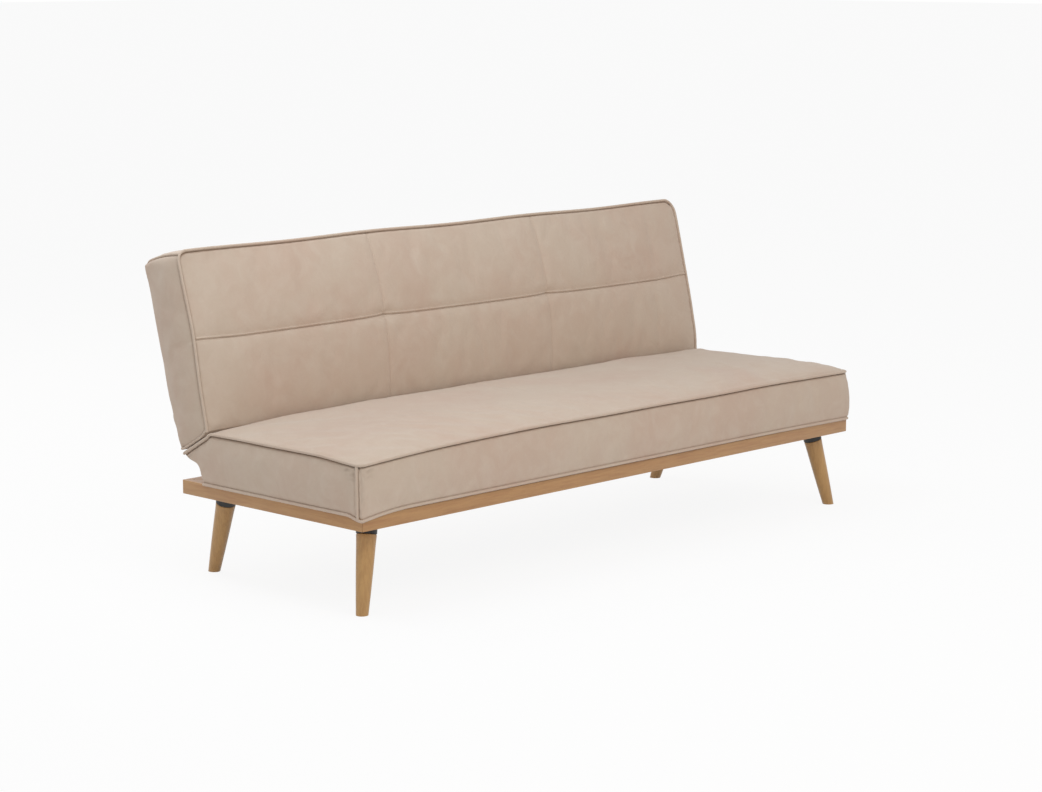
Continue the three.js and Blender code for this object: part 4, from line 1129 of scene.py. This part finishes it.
class SOFA_OT_seat_piping(bpy.types.Operator):
    """Lays the covered cords on the seams of the seat"""

    bl_idname = "sofa.make_seat_piping"
    bl_label = "Seat piping"

    def execute(self, context):
        sizes, seed = context.scene.sofa_sizes, context.scene.sofa_studio.seed
        shape = SeatShape(sizes, seed)
        radius = sizes.piping_radius
        routes = shape.routes()
        top = np.concatenate([routes["top_left"][::-1], routes["top_right"]])
        top[[0, -1]] = 0.8 * top[[0, -1]] + 0.2 * top[[1, -2]]
        top_shift = np.array([(np.sign(x), 0, 0.5) for x, _, _ in top]) * MM
        hem = np.array([(-shape.half, shape.rear, shape.foot), *routes["hem_front"],
                        (shape.half, shape.rear, shape.foot)])
        hem_shift = np.array([(-1.2, 0, 0), (-1.2, -1.2, 0), (1.2, -1.2, 0), (1.2, 0, 0)]) * MM
        for name, node, route, shift in (
            ("seat_top_cord", "seat_piping_top", top, top_shift),
            ("seat_hem_cord", "seat_piping_foot", hem, hem_shift),
        ):
            middle = len(route) // 2
            shift[middle - 1:middle + 1, 1] = -MM
            cord = piping(name, shape, route, shift, radius, seed + len(route), 2.5 * MM)
            seat_piece(cord, "base", "piping_fabric", node)
        for side, sign in SIDES:
            route = routes[f"corner_{side}"] + np.array([(0, 0, 3 * MM), (0, 0, -4 * MM)])
            shift = np.array([(sign, 0, 0)] * 2) * MM
            cord = piping(f"seat_corner_cord_{side}", shape, route, shift, radius, seed + 50 + sign)
            seat_piece(cord, "base", "piping_fabric", f"seat_piping_corner_{side}")
        return {"FINISHED"}


# Back cushion, in its own place: z runs up the back, y through it, the hinge line is the origin

BACK_FRONT = -69.7
BACK_RISE = 68.8
BACK_TOP_FALL = 6
REAR_ROUND = 20 * MM
SEAM_SAG = 4.5 * MM
END_ARCH = 6 * MM
LEFT_SPREAD = 3.5 * MM
THICK_FOOT, THICK_TOP = 121, 143
SEAM_HEIGHT = 222
FOOT_FOLD = (-50, 55)
HEEL_FRONT = (25, 31)
HEEL = ((36, 32), (43, 52), (51, 91))
TOP_ROUND = {-1: 25 * MM, 1: 40 * MM}

# How far each upright edge stands forward, by its height
LEFT_EDGE = ((0, 0), (150, 5), (240, 7), (380, -9), (432, -12))
RIGHT_EDGE = ((0, 3), (50, 13), (160, 11), (370, 0), (432, -6))
# The top edge: height in the middle, rise to the right end, ripple, and length of a ripple
TOP_LINE = (4, 2, 1.6, 560)


class BackShape:
    """Sizes and outline of the back cushion, worked out once"""

    def __init__(self, sizes, seed):
        self.sizes, self.seed = sizes, seed
        self.half = HALF_LENGTH
        self.front = BACK_FRONT * MM
        self.foot = BACK_RISE * MM
        self.top = self.foot + sizes.back_height
        self.seam_x = self.half / 3
        self.seam_z = self.foot + SEAM_HEIGHT * MM
        rear_top = (self.front + THICK_TOP * MM, self.top - BACK_TOP_FALL * MM)
        self.top_path = np.array([(self.front, self.top), rear_top])
        self.rear_path = np.array([*(np.array(HEEL) * MM), rear_top])
        corners = [(self.front, self.foot), *(np.array([FOOT_FOLD, HEEL_FRONT, HEEL[0]]) * MM)]
        self.foot_path = rounded(corners, (10 * MM, 5 * MM))

    def form(self, spacing=10 * MM, steps=SEAM_STEPS):
        marks = [(x, steps) for x in (-self.half, -self.seam_x, self.seam_x, self.half)]
        columns = graded(-self.half, self.half, marks, spacing)
        tall = self.top - self.foot
        marks = [(z, steps) for z in (0, SEAM_HEIGHT * MM, tall)]
        up = graded(0, tall, marks, 0.9 * spacing) / tall
        deep = run_along(self.top_path)[-1]
        over = graded(0, deep, [(0, steps), (deep, steps[::2])], 0.9 * spacing) / deep
        front = resample(np.array([(self.front, self.foot), (self.front, self.top)]), up)
        return PaddedForm(
            columns, front, resample(self.top_path, over), resample(self.rear_path, up),
            resample(self.foot_path, over), up, over,
        )

    def height(self, z):
        return np.clip((z - self.foot) / (self.top - self.foot), 0, 1)

    def top_line(self, x):
        """Height of the top edge, which rises to the right and ripples along its length"""
        level, rise, ripple, wave = np.array(TOP_LINE) * MM
        return level + rise * x / self.half - ripple * np.cos(2 * math.pi * x / wave)

    def carried(self, points):
        """How the cover is drawn from its flat form, panels and seams alike"""
        x, y, z = points.T
        height = self.height(z)
        at_ends = np.abs(x / self.half) ** 4
        middle = self.sizes.back_bow * np.sin(math.pi * height)
        edge = np.where(x < 0, eased_table(LEFT_EDGE, z - self.foot),
                        eased_table(RIGHT_EDGE, z - self.foot))
        shallow = 1 - np.clip((y - self.front) / (THICK_FOOT * MM), 0, 1)
        moved = self.rounded_corners(x, y, z)
        moved[:, 0] -= np.where(x < 0, LEFT_SPREAD, 0) * at_ends * (1 - fade(height, 0.3))
        moved[:, 1] -= (middle + (edge - middle) * at_ends) * shallow
        over = np.clip((y - self.front) / (THICK_TOP * MM), 0, 1)
        arch = END_ARCH * np.sin(math.pi * over) * at_ends * height ** 9
        moved[:, 2] += self.top_line(x) * height ** 3 + arch
        free = 1 - fade(z - self.foot, 90 * MM)
        loose = drift(points, self.seed + 1, self.sizes.cover_drift) * (0.15 + 0.85 * free)[:, None]
        return moved + loose

    def rounded_corners(self, x, y, z):
        """Draws the top corners in, so that they run round at the ends and at the rear"""
        moved = np.zeros((len(x), 3))
        for sign, radius in TOP_ROUND.items():
            across, upward = sign * x - (self.half - radius), z - (self.top - radius)
            pull = corner_pull(across, upward)
            moved[:, 0] += sign * across * pull
            moved[:, 2] += upward * pull
        rear, high = self.top_path[-1]
        beyond, upward = y - (rear - REAR_ROUND), z - (high - REAR_ROUND)
        pull = corner_pull(beyond, upward)
        moved[:, 1] += beyond * pull
        moved[:, 2] += upward * pull
        return moved

    def filled(self, form):
        """The padded form with its crown and its drawn-in seams, without folds and piped seams"""
        sizes, flat, on = self.sizes, form.flat, form.panels
        x, y, z = flat.T
        lift = 1 - np.abs(np.clip(x / self.half, -1, 1)) ** 5
        points = flat + self.carried(flat)
        arch = np.sin(math.pi * self.height(z))
        points[:, 1] -= np.where(on["front"], sizes.back_crown * arch ** 0.5 * lift, 0)
        points[:, 1] += np.where(on["rear"], sizes.back_rear_bulge * arch * lift, 0)
        over = np.sin(math.pi * np.clip((y - self.front) / (THICK_TOP * MM), 0, 1))
        points[:, 2] += np.where(on["top"], sizes.back_top_crown * over * lift, 0)
        s, t = form.end_share.T
        fullness = (1 - np.abs(2 * s - 1) ** 2.6) * (1 - np.abs(2 * t - 1) ** 5)
        points[:, 0] += np.sign(x) * sizes.back_side_bulge * fullness
        points[:, 1] += np.where(on["front"], self.drawn_in(flat) * np.clip(2 * lift, 0, 1), 0)
        level, beside = self.from_seams(flat)
        sag = SEAM_SAG * (1 - np.exp(-np.abs(beside) / (45 * MM)))
        sag *= 1 - fade(self.half - np.abs(x), 150 * MM)
        points[:, 2] -= np.where(on["front"], sag * fade(np.abs(level), 110 * MM), 0)
        return form.relax(points, self.loose_edges(flat), 16)

    def loose_edges(self, flat):
        """Edges without piping, down the rear of each end"""
        route = resample(self.rear_path, np.linspace(0, 0.86, 50))
        distance = np.linalg.norm(flat[:, None, 1:] - route[None], axis=2).min(1)
        distance += self.half - np.abs(flat[:, 0])
        return fade(distance, 30 * MM)

    def from_seams(self, flat):
        """Distance above the level seam, and outward of the upright seams"""
        return flat[:, 2] - self.seam_z, np.abs(flat[:, 0]) - self.seam_x

    def drawn_in(self, flat):
        """Depth to which the lapped seams, and the tufts where they cross, draw the front in"""
        sizes = self.sizes
        level, beside = self.from_seams(flat)
        half_width = 24 * MM
        pull_level = (1 - np.clip(np.abs(level) / half_width, 0, 1)) ** 2
        pull_beside = (1 - np.clip(np.abs(beside) / half_width, 0, 1)) ** 2
        depth = sizes.seam_depth * np.maximum(pull_level, 0.4 * pull_beside)
        depth += (sizes.tuft_depth - sizes.seam_depth) * np.exp(
            -(level / (20 * MM)) ** 2 - (beside / (26 * MM)) ** 2,
        )
        return depth + 3 * MM * np.exp(-(np.hypot(level, beside) / (8 * MM)) ** 2)

    def stitched(self, form):
        """The lapped seams themselves: a narrow groove beside a ridge, gathered a little"""
        flat = form.flat
        level, beside = self.from_seams(flat)
        x, z = flat[:, 0], flat[:, 2]
        ends = np.clip((self.half - np.abs(x)) / (6 * MM), 0, 1)
        depth = 2.6 * MM * mound(level, -1.2 * MM, 1.1 * MM) - 2 * MM * mound(level, 2.4 * MM, 2 * MM)
        gather = 0.5 * MM * waves(x, self.seed + 5, (0.017, 0.029, 0.05))
        depth += gather * mound(np.abs(level), 8 * MM, 6 * MM)
        depth += 0.7 * MM * mound(beside, 1.2 * MM, MM) - 0.9 * MM * mound(beside, -1.6 * MM, 1.6 * MM)
        gather = 0.4 * MM * waves(z, self.seed + 6, (0.019, 0.031, 0.06))
        depth += gather * mound(np.abs(beside), 8 * MM, 6 * MM)
        # Painted shade in the groove under the level seam, and faintly beside the upright seams
        dark = 0.3 * mound(level, -1.2 * MM, 0.9 * MM) + 0.03 * mound(beside, 1.2 * MM, MM)
        form.crease = np.maximum(form.crease, np.where(form.panels["front"], dark, 0))
        return depth * ends

    def held(self, form):
        """Where the cover is sewn or tacked, so that it can't fold"""
        on, flat = form.panels, form.flat
        level, beside = self.from_seams(flat)
        seams = (on["front"] | on["left"] | on["right"]) & on["top"]
        sides = on["front"] & (on["left"] | on["right"])
        lapped = on["front"] & ((np.abs(level) < MM) | (np.abs(beside) < MM))
        return seams | sides | lapped | on["foot"] | (flat[:, 2] < self.foot)

    def routes(self):
        half = self.half
        upright = np.linspace(self.foot, self.top, 24)
        routes = {"top_front": np.array([(-half, self.front, self.top), (half, self.front, self.top)])}
        for side, sign in SIDES:
            x = sign * half
            routes[f"front_{side}"] = np.array([(x, self.front, z) for z in upright])
            routes[f"top_{side}"] = np.column_stack([np.full(2, x), self.top_path])
            routes[f"foot_{side}"] = np.column_stack([np.full(len(self.foot_path), x), self.foot_path])
        return routes

    def seams(self, form):
        depth, seed = self.sizes.groove_depth, self.seed
        routes = self.routes()
        total = sew(
            form, routes["top_front"], ("front", (0, 1, 0)), ("top", (0, 0, -1)),
            (0.8 * depth, 0.2 * depth), seed + 20,
        )
        for index, (side, sign) in enumerate(SIDES):
            inward = (-sign, 0, 0)
            for route, second, way, shares, pucker in (
                ("front", "front", (0, 1, 0), (0.45, 0.4), 0.6 * MM),
                ("top", "top", (0, 0, -1), (0.6, 0.2), 0.6 * MM),
                ("foot", "foot", (0, 0, 0), (0.6, 0), 1.6 * MM),
            ):
                total += sew(
                    form, routes[f"{route}_{side}"], (side, inward), (second, way),
                    (shares[0] * depth, shares[1] * depth), seed + 23 + index + len(route), pucker,
                )
        total[:, 1] += np.where(form.panels["front"], self.stitched(form), 0)
        return total

    @staticmethod
    def placed(points):
        """Points of the back's own place, turned to its lean at rest and set on the hinge line"""
        cos, sin = math.cos(BACK_LEAN), math.sin(BACK_LEAN)
        y, z = points[:, 1], points[:, 2]
        return np.column_stack([
            points[:, 0] + PIVOT.x, y * cos + z * sin + PIVOT.y, -y * sin + z * cos + PIVOT.z,
        ])


class SOFA_OT_back(bpy.types.Operator):
    """Makes the padded back: crowned front with lapped seams and two tufts, hollow foot"""

    bl_idname = "sofa.make_back"
    bl_label = "Back cushion"

    def execute(self, context):
        shape = BackShape(context.scene.sofa_sizes, context.scene.sofa_studio.seed)
        form = shape.form()
        points = shape.filled(form) + folds(shape, form) + shape.seams(form)
        piece = new_object(
            "back_cushion", shape.placed(points), form.faces, MATERIALS["fabric"],
            crease=form.crease,
        )
        seat_piece(piece, "backrest", "cushion_fabric", "back_cover", "back_foam")
        return {"FINISHED"}


class SOFA_OT_back_piping(bpy.types.Operator):
    """Lays the covered cords on the seams of the back"""

    bl_idname = "sofa.make_back_piping"
    bl_label = "Back piping"

    def execute(self, context):
        sizes, seed = context.scene.sofa_sizes, context.scene.sofa_studio.seed
        shape = BackShape(sizes, seed)
        routes = shape.routes()
        out = 0.9 * MM
        left, right = routes["front_left"], routes["front_right"][::-1]
        front = np.concatenate([left, routes["top_front"], right])
        shift = np.array([(-out, -out, 0) if x < 0 else (0.4 * out, 1.3 * out, 0) for x, _, _ in front])
        middle = len(left)
        shift[middle - 1:middle + 2, 1:] = (-out, out)
        self.cord("back_front_cord", shape, front, shift, "back_piping_front")
        for side, sign in SIDES:
            route = routes[f"top_{side}"]
            down = route[-1] - (0, 2 * MM, 12 * MM)
            route = np.concatenate([resample(route, np.linspace(0.02, 1, 8)), [down]])
            shift = np.tile((sign * out, 0, out), (9, 1))
            shift[-1] = (-sign * MM, -3 * MM, -2 * MM)
            self.cord(f"back_top_cord_{side}", shape, route, shift, f"back_piping_top_{side}")
            route = routes[f"foot_{side}"]
            route = resample(route, np.linspace(0, 0.96, 24))
            shift = np.tile((sign * 1.2 * MM, 1.1 * MM, 3.4 * MM), (len(route), 1))
            self.cord(f"back_foot_cord_{side}", shape, route, shift)
        return {"FINISHED"}

    @staticmethod
    def cord(name, shape, route, shift, *nodes):
        radius = shape.sizes.back_piping_radius
        cord = piping(name, shape, route, shift, radius, shape.seed + 70 + len(name))
        seat_piece(cord, "backrest", "piping_fabric", *nodes)


# Inside and underneath

class SOFA_OT_inner(bpy.types.Operator):
    """Finishes what the cushions hold: pine frames, zigzag springs and elastic straps"""

    bl_idname = "sofa.make_inner"
    bl_label = "Inner frames and springs"

    def execute(self, context):
        grain = {
            "seat_frame_front": "pine_x", "seat_frame_rear": "pine_x",
            "seat_frame_left": "pine_y", "seat_frame_right": "pine_y",
            "back_stile_left": "pine_z", "back_stile_right": "pine_z",
            "back_rail_foot": "pine_x", "back_rail_head": "pine_x",
            "back_strap_lower": "webbing", "back_strap_upper": "webbing",
        }
        for node in frame["nodes"]:
            if node in grain:
                finish_node(node, MATERIALS[grain[node]])
            elif node.startswith("zigzag_spring"):
                finish_node(node, MATERIALS["spring"])
            elif node.endswith("_foam"):
                finish_node(node, MATERIALS["foam"])
        return {"FINISHED"}


class SOFA_OT_dust_sheet(bpy.types.Operator):
    """Stretches the black dust sheet under the seat"""

    bl_idname = "sofa.make_dust_sheet"
    bl_label = "Dust sheet"

    def execute(self, context):
        low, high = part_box("seat_dust_sheet")
        across = np.linspace(low.x, high.x, 121)
        deep = np.linspace(low.y, high.y, 37)
        x, y = np.meshgrid(across, deep, indexing="ij")
        from_edge = np.minimum(
            np.minimum(x - low.x, high.x - x), np.minimum(y - low.y, high.y - y),
        )
        sag = 3.0 * MM * (1 - np.exp(-from_edge / (60 * MM)))
        ripple = 0.5 * MM * np.sin(x / 0.041 + np.sin(y / 0.06)) * np.clip(from_edge / 0.03, 0, 1)
        z = low.z + 0.4 * MM - sag + ripple
        top = np.stack([x, y, z + 0.5 * MM], -1).reshape(-1, 3)
        under = np.stack([x, y, z], -1).reshape(-1, 3)
        index = np.arange(len(top)).reshape(x.shape)
        quads = np.stack([index[:-1, :-1], index[1:, :-1], index[1:, 1:], index[:-1, 1:]], -1)
        quads = quads.reshape(-1, 4)
        rim = np.concatenate([
            index[:, 0], index[-1, 1:], index[::-1, -1][1:], index[0, ::-1][1:-1],
        ])
        after = np.roll(rim, -1)
        size = len(top)
        walls = np.stack([rim + size, after + size, after, rim], -1)
        faces = np.concatenate([quads, quads[:, ::-1] + size, walls])
        piece = new_object("stretched_dust_sheet", np.concatenate([top, under]), faces,
                           MATERIALS["sheet"])
        seat_piece(piece, "base", "dust_sheet", "seat_dust_sheet")
        size = (high.x - low.x, high.y - low.y)
        return {"FINISHED"}


class SOFA_OT_hinges(bpy.types.Operator):
    """Finishes the ratchet hinges: plates, pins, pawls, leaf springs and screws"""

    bl_idname = "sofa.make_hinges"
    bl_label = "Ratchet hinges"

    def execute(self, context):
        for side, _ in SIDES:
            for node, body, edge in (
                (f"hinge_bracket_{side}", "base", 0.4 * MM),
                (f"hinge_arm_{side}", "backrest", 0.4 * MM),
            ):
                piece = eased_copy(node, edge, MATERIALS["steel"], 2)
                seat_piece(piece, body, "hinge_steel", node)
        for node in frame["nodes"]:
            if node.startswith(("pivot_rivet", "bracket_screw", "pawl_pin")):
                finish_node(node, MATERIALS["steel"])
            elif node.startswith("pawl_"):
                finish_node(node, MATERIALS["spring"])
        return {"FINISHED"}


# Stage, lamps and camera

CAMERA_YAW = math.radians(46.06)
CAMERA_PITCH = math.radians(9.45)
CAMERA_DISTANCE = 6.8617
CAMERA_AIM = (-50.9 * MM, 0, 377.4 * MM)


class SOFA_OT_stage(bpy.types.Operator):
    """Sets the pale floor, the soft lamps and the camera"""

    bl_idname = "sofa.make_stage"
    bl_label = "Stage"

    def execute(self, context):
        studio = context.scene.sofa_studio
        self.floor()
        self.world(studio.sky)
        warm, cool = (1.0, 0.95, 0.9), (0.82, 0.91, 1.0)
        for name, place, size, power, tint in (
            ("key_lamp", (-0.5, -3.1, 3.0), (3.6, 2.6), studio.key_power, warm),
            ("fill_lamp", (-4.2, -1.2, 1.9), (2.4, 2.0), studio.fill_power, warm),
            ("rear_lamp", (-0.2, 3.4, 3.0), (3.4, 2.0), studio.rear_power, warm),
            ("top_lamp", (-1.0, 0.25, 2.4), (1.4, 1.0), studio.top_power, cool),
        ):
            self.lamp(name, place, (0, 0, 0.45), size, power, tint)
        self.camera(studio.lens)
        context.scene.view_settings.view_transform = "Standard"
        return {"FINISHED"}

    @staticmethod
    def floor():
        half = 60.0
        mesh = bpy.data.meshes.new("floor")
        work = bmesh.new()
        bmesh.ops.create_grid(work, x_segments=12, y_segments=12, size=half)
        work.to_mesh(mesh)
        work.free()
        floor = in_scene("floor", mesh)
        f = Finish("pale_floor", Roughness=0.9, Specular_IOR_Level=0.1)
        mottle = f.noise(f.place(), 3.0, 3.0)
        f.set(Base_Color=f.mix(mottle, (0.86, 0.86, 0.855), (0.88, 0.88, 0.88)))
        glow = f.node("ShaderNodeEmission", inputs={"Color": (1, 1, 1, 1), "Strength": 1.0})
        path = f.node("ShaderNodeLightPath", output="Is Camera Ray")
        shiny = f.node("ShaderNodeLightPath", output="Is Glossy Ray")
        seen = f.node("ShaderNodeMath", {"operation": "MAXIMUM"}, {0: path, 1: shiny})
        surface = Wire(f, f.shader.outputs[0])
        mixed = f.node("ShaderNodeMixShader", inputs={0: seen * 0.9, 1: surface, 2: glow})
        output = f.tree.nodes["Material Output"]
        f.tree.links.new(mixed.socket, output.inputs["Surface"])
        mesh.materials.append(f.material)

    @staticmethod
    def world(level):
        world = bpy.data.worlds.new("studio_air")
        bpy.context.scene.world = world
        world.use_nodes = True
        tree = world.node_tree
        background = tree.nodes["Background"]
        background.inputs["Color"].default_value = (1, 1, 1, 1)
        path = tree.nodes.new("ShaderNodeLightPath")
        seen = tree.nodes.new("ShaderNodeMath")
        seen.operation = "MAXIMUM"
        tree.links.new(path.outputs["Is Camera Ray"], seen.inputs[0])
        tree.links.new(path.outputs["Is Glossy Ray"], seen.inputs[1])
        strength = tree.nodes.new("ShaderNodeMapRange")
        strength.inputs["To Min"].default_value = level
        strength.inputs["To Max"].default_value = 1.0
        tree.links.new(seen.outputs[0], strength.inputs["Value"])
        tree.links.new(strength.outputs[0], background.inputs["Strength"])

    @staticmethod
    def lamp(name, place, aim, size, power, tint):
        data = bpy.data.lights.new(name, "AREA")
        data.shape = "RECTANGLE"
        data.size, data.size_y = size
        data.energy, data.color = power, tint
        lamp = in_scene(name, data)
        lamp.location = place
        lamp.rotation_euler = (Vector(aim) - Vector(place)).to_track_quat("-Z", "Y").to_euler()

    @staticmethod
    def camera(lens):
        data = bpy.data.cameras.new("camera")
        data.lens = lens
        data.sensor_width = 36.0
        data.sensor_fit = "HORIZONTAL"
        data.clip_end = 200.0
        flat = math.cos(CAMERA_PITCH)
        ahead = Vector((
            math.sin(CAMERA_YAW) * flat, math.cos(CAMERA_YAW) * flat, -math.sin(CAMERA_PITCH),
        ))
        aim = Vector(CAMERA_AIM) + Vector((0, FRAME_MIDDLE_Y, 0))
        camera = in_scene("camera", data)
        camera.location = aim - ahead * CAMERA_DISTANCE
        camera.rotation_euler = ahead.to_track_quat("-Z", "Y").to_euler()
        bpy.context.scene.camera = camera


# Panel and registration

OPERATORS = (
    SOFA_OT_stage, SOFA_OT_frame, SOFA_OT_legs, SOFA_OT_seat, SOFA_OT_seat_piping, SOFA_OT_back,
    SOFA_OT_back_piping, SOFA_OT_inner, SOFA_OT_dust_sheet, SOFA_OT_hinges,
)


class SOFA_PT_parts(bpy.types.Panel):
    """Lists the sofa's pieces, its sizes and its colours"""

    bl_idname = "SOFA_PT_parts"
    bl_label = "Click clack sofa bed"
    bl_space_type = "VIEW_3D"
    bl_region_type = "UI"
    bl_category = "Sofa"

    def draw(self, context):
        layout = self.layout
        for operator in OPERATORS:
            layout.operator(operator.bl_idname)
        for group in (context.scene.sofa_sizes, context.scene.sofa_colours, context.scene.sofa_studio):
            box = layout.box()
            for name in group.__annotations__:
                box.prop(group, name)


GROUPS = (("sofa_sizes", SofaSizes), ("sofa_colours", SofaColours), ("sofa_studio", SofaStudio))


def register():
    for name, group in GROUPS:
        bpy.utils.register_class(group)
        setattr(bpy.types.Scene, name, PointerProperty(type=group))
    for item in (*OPERATORS, SOFA_PT_parts):
        bpy.utils.register_class(item)


def unregister():
    for item in (SOFA_PT_parts, *reversed(OPERATORS)):
        bpy.utils.unregister_class(item)
    for name, group in reversed(GROUPS):
        delattr(bpy.types.Scene, name)
        bpy.utils.unregister_class(group)


def main():
    register()
    make_materials(bpy.context.scene.sofa_colours)
    for operator in OPERATORS:
        family, name = operator.bl_idname.split(".")
        getattr(getattr(bpy.ops, family), name)()
    bpy.context.view_layer.update()


if __name__ == "__main__":
    main()
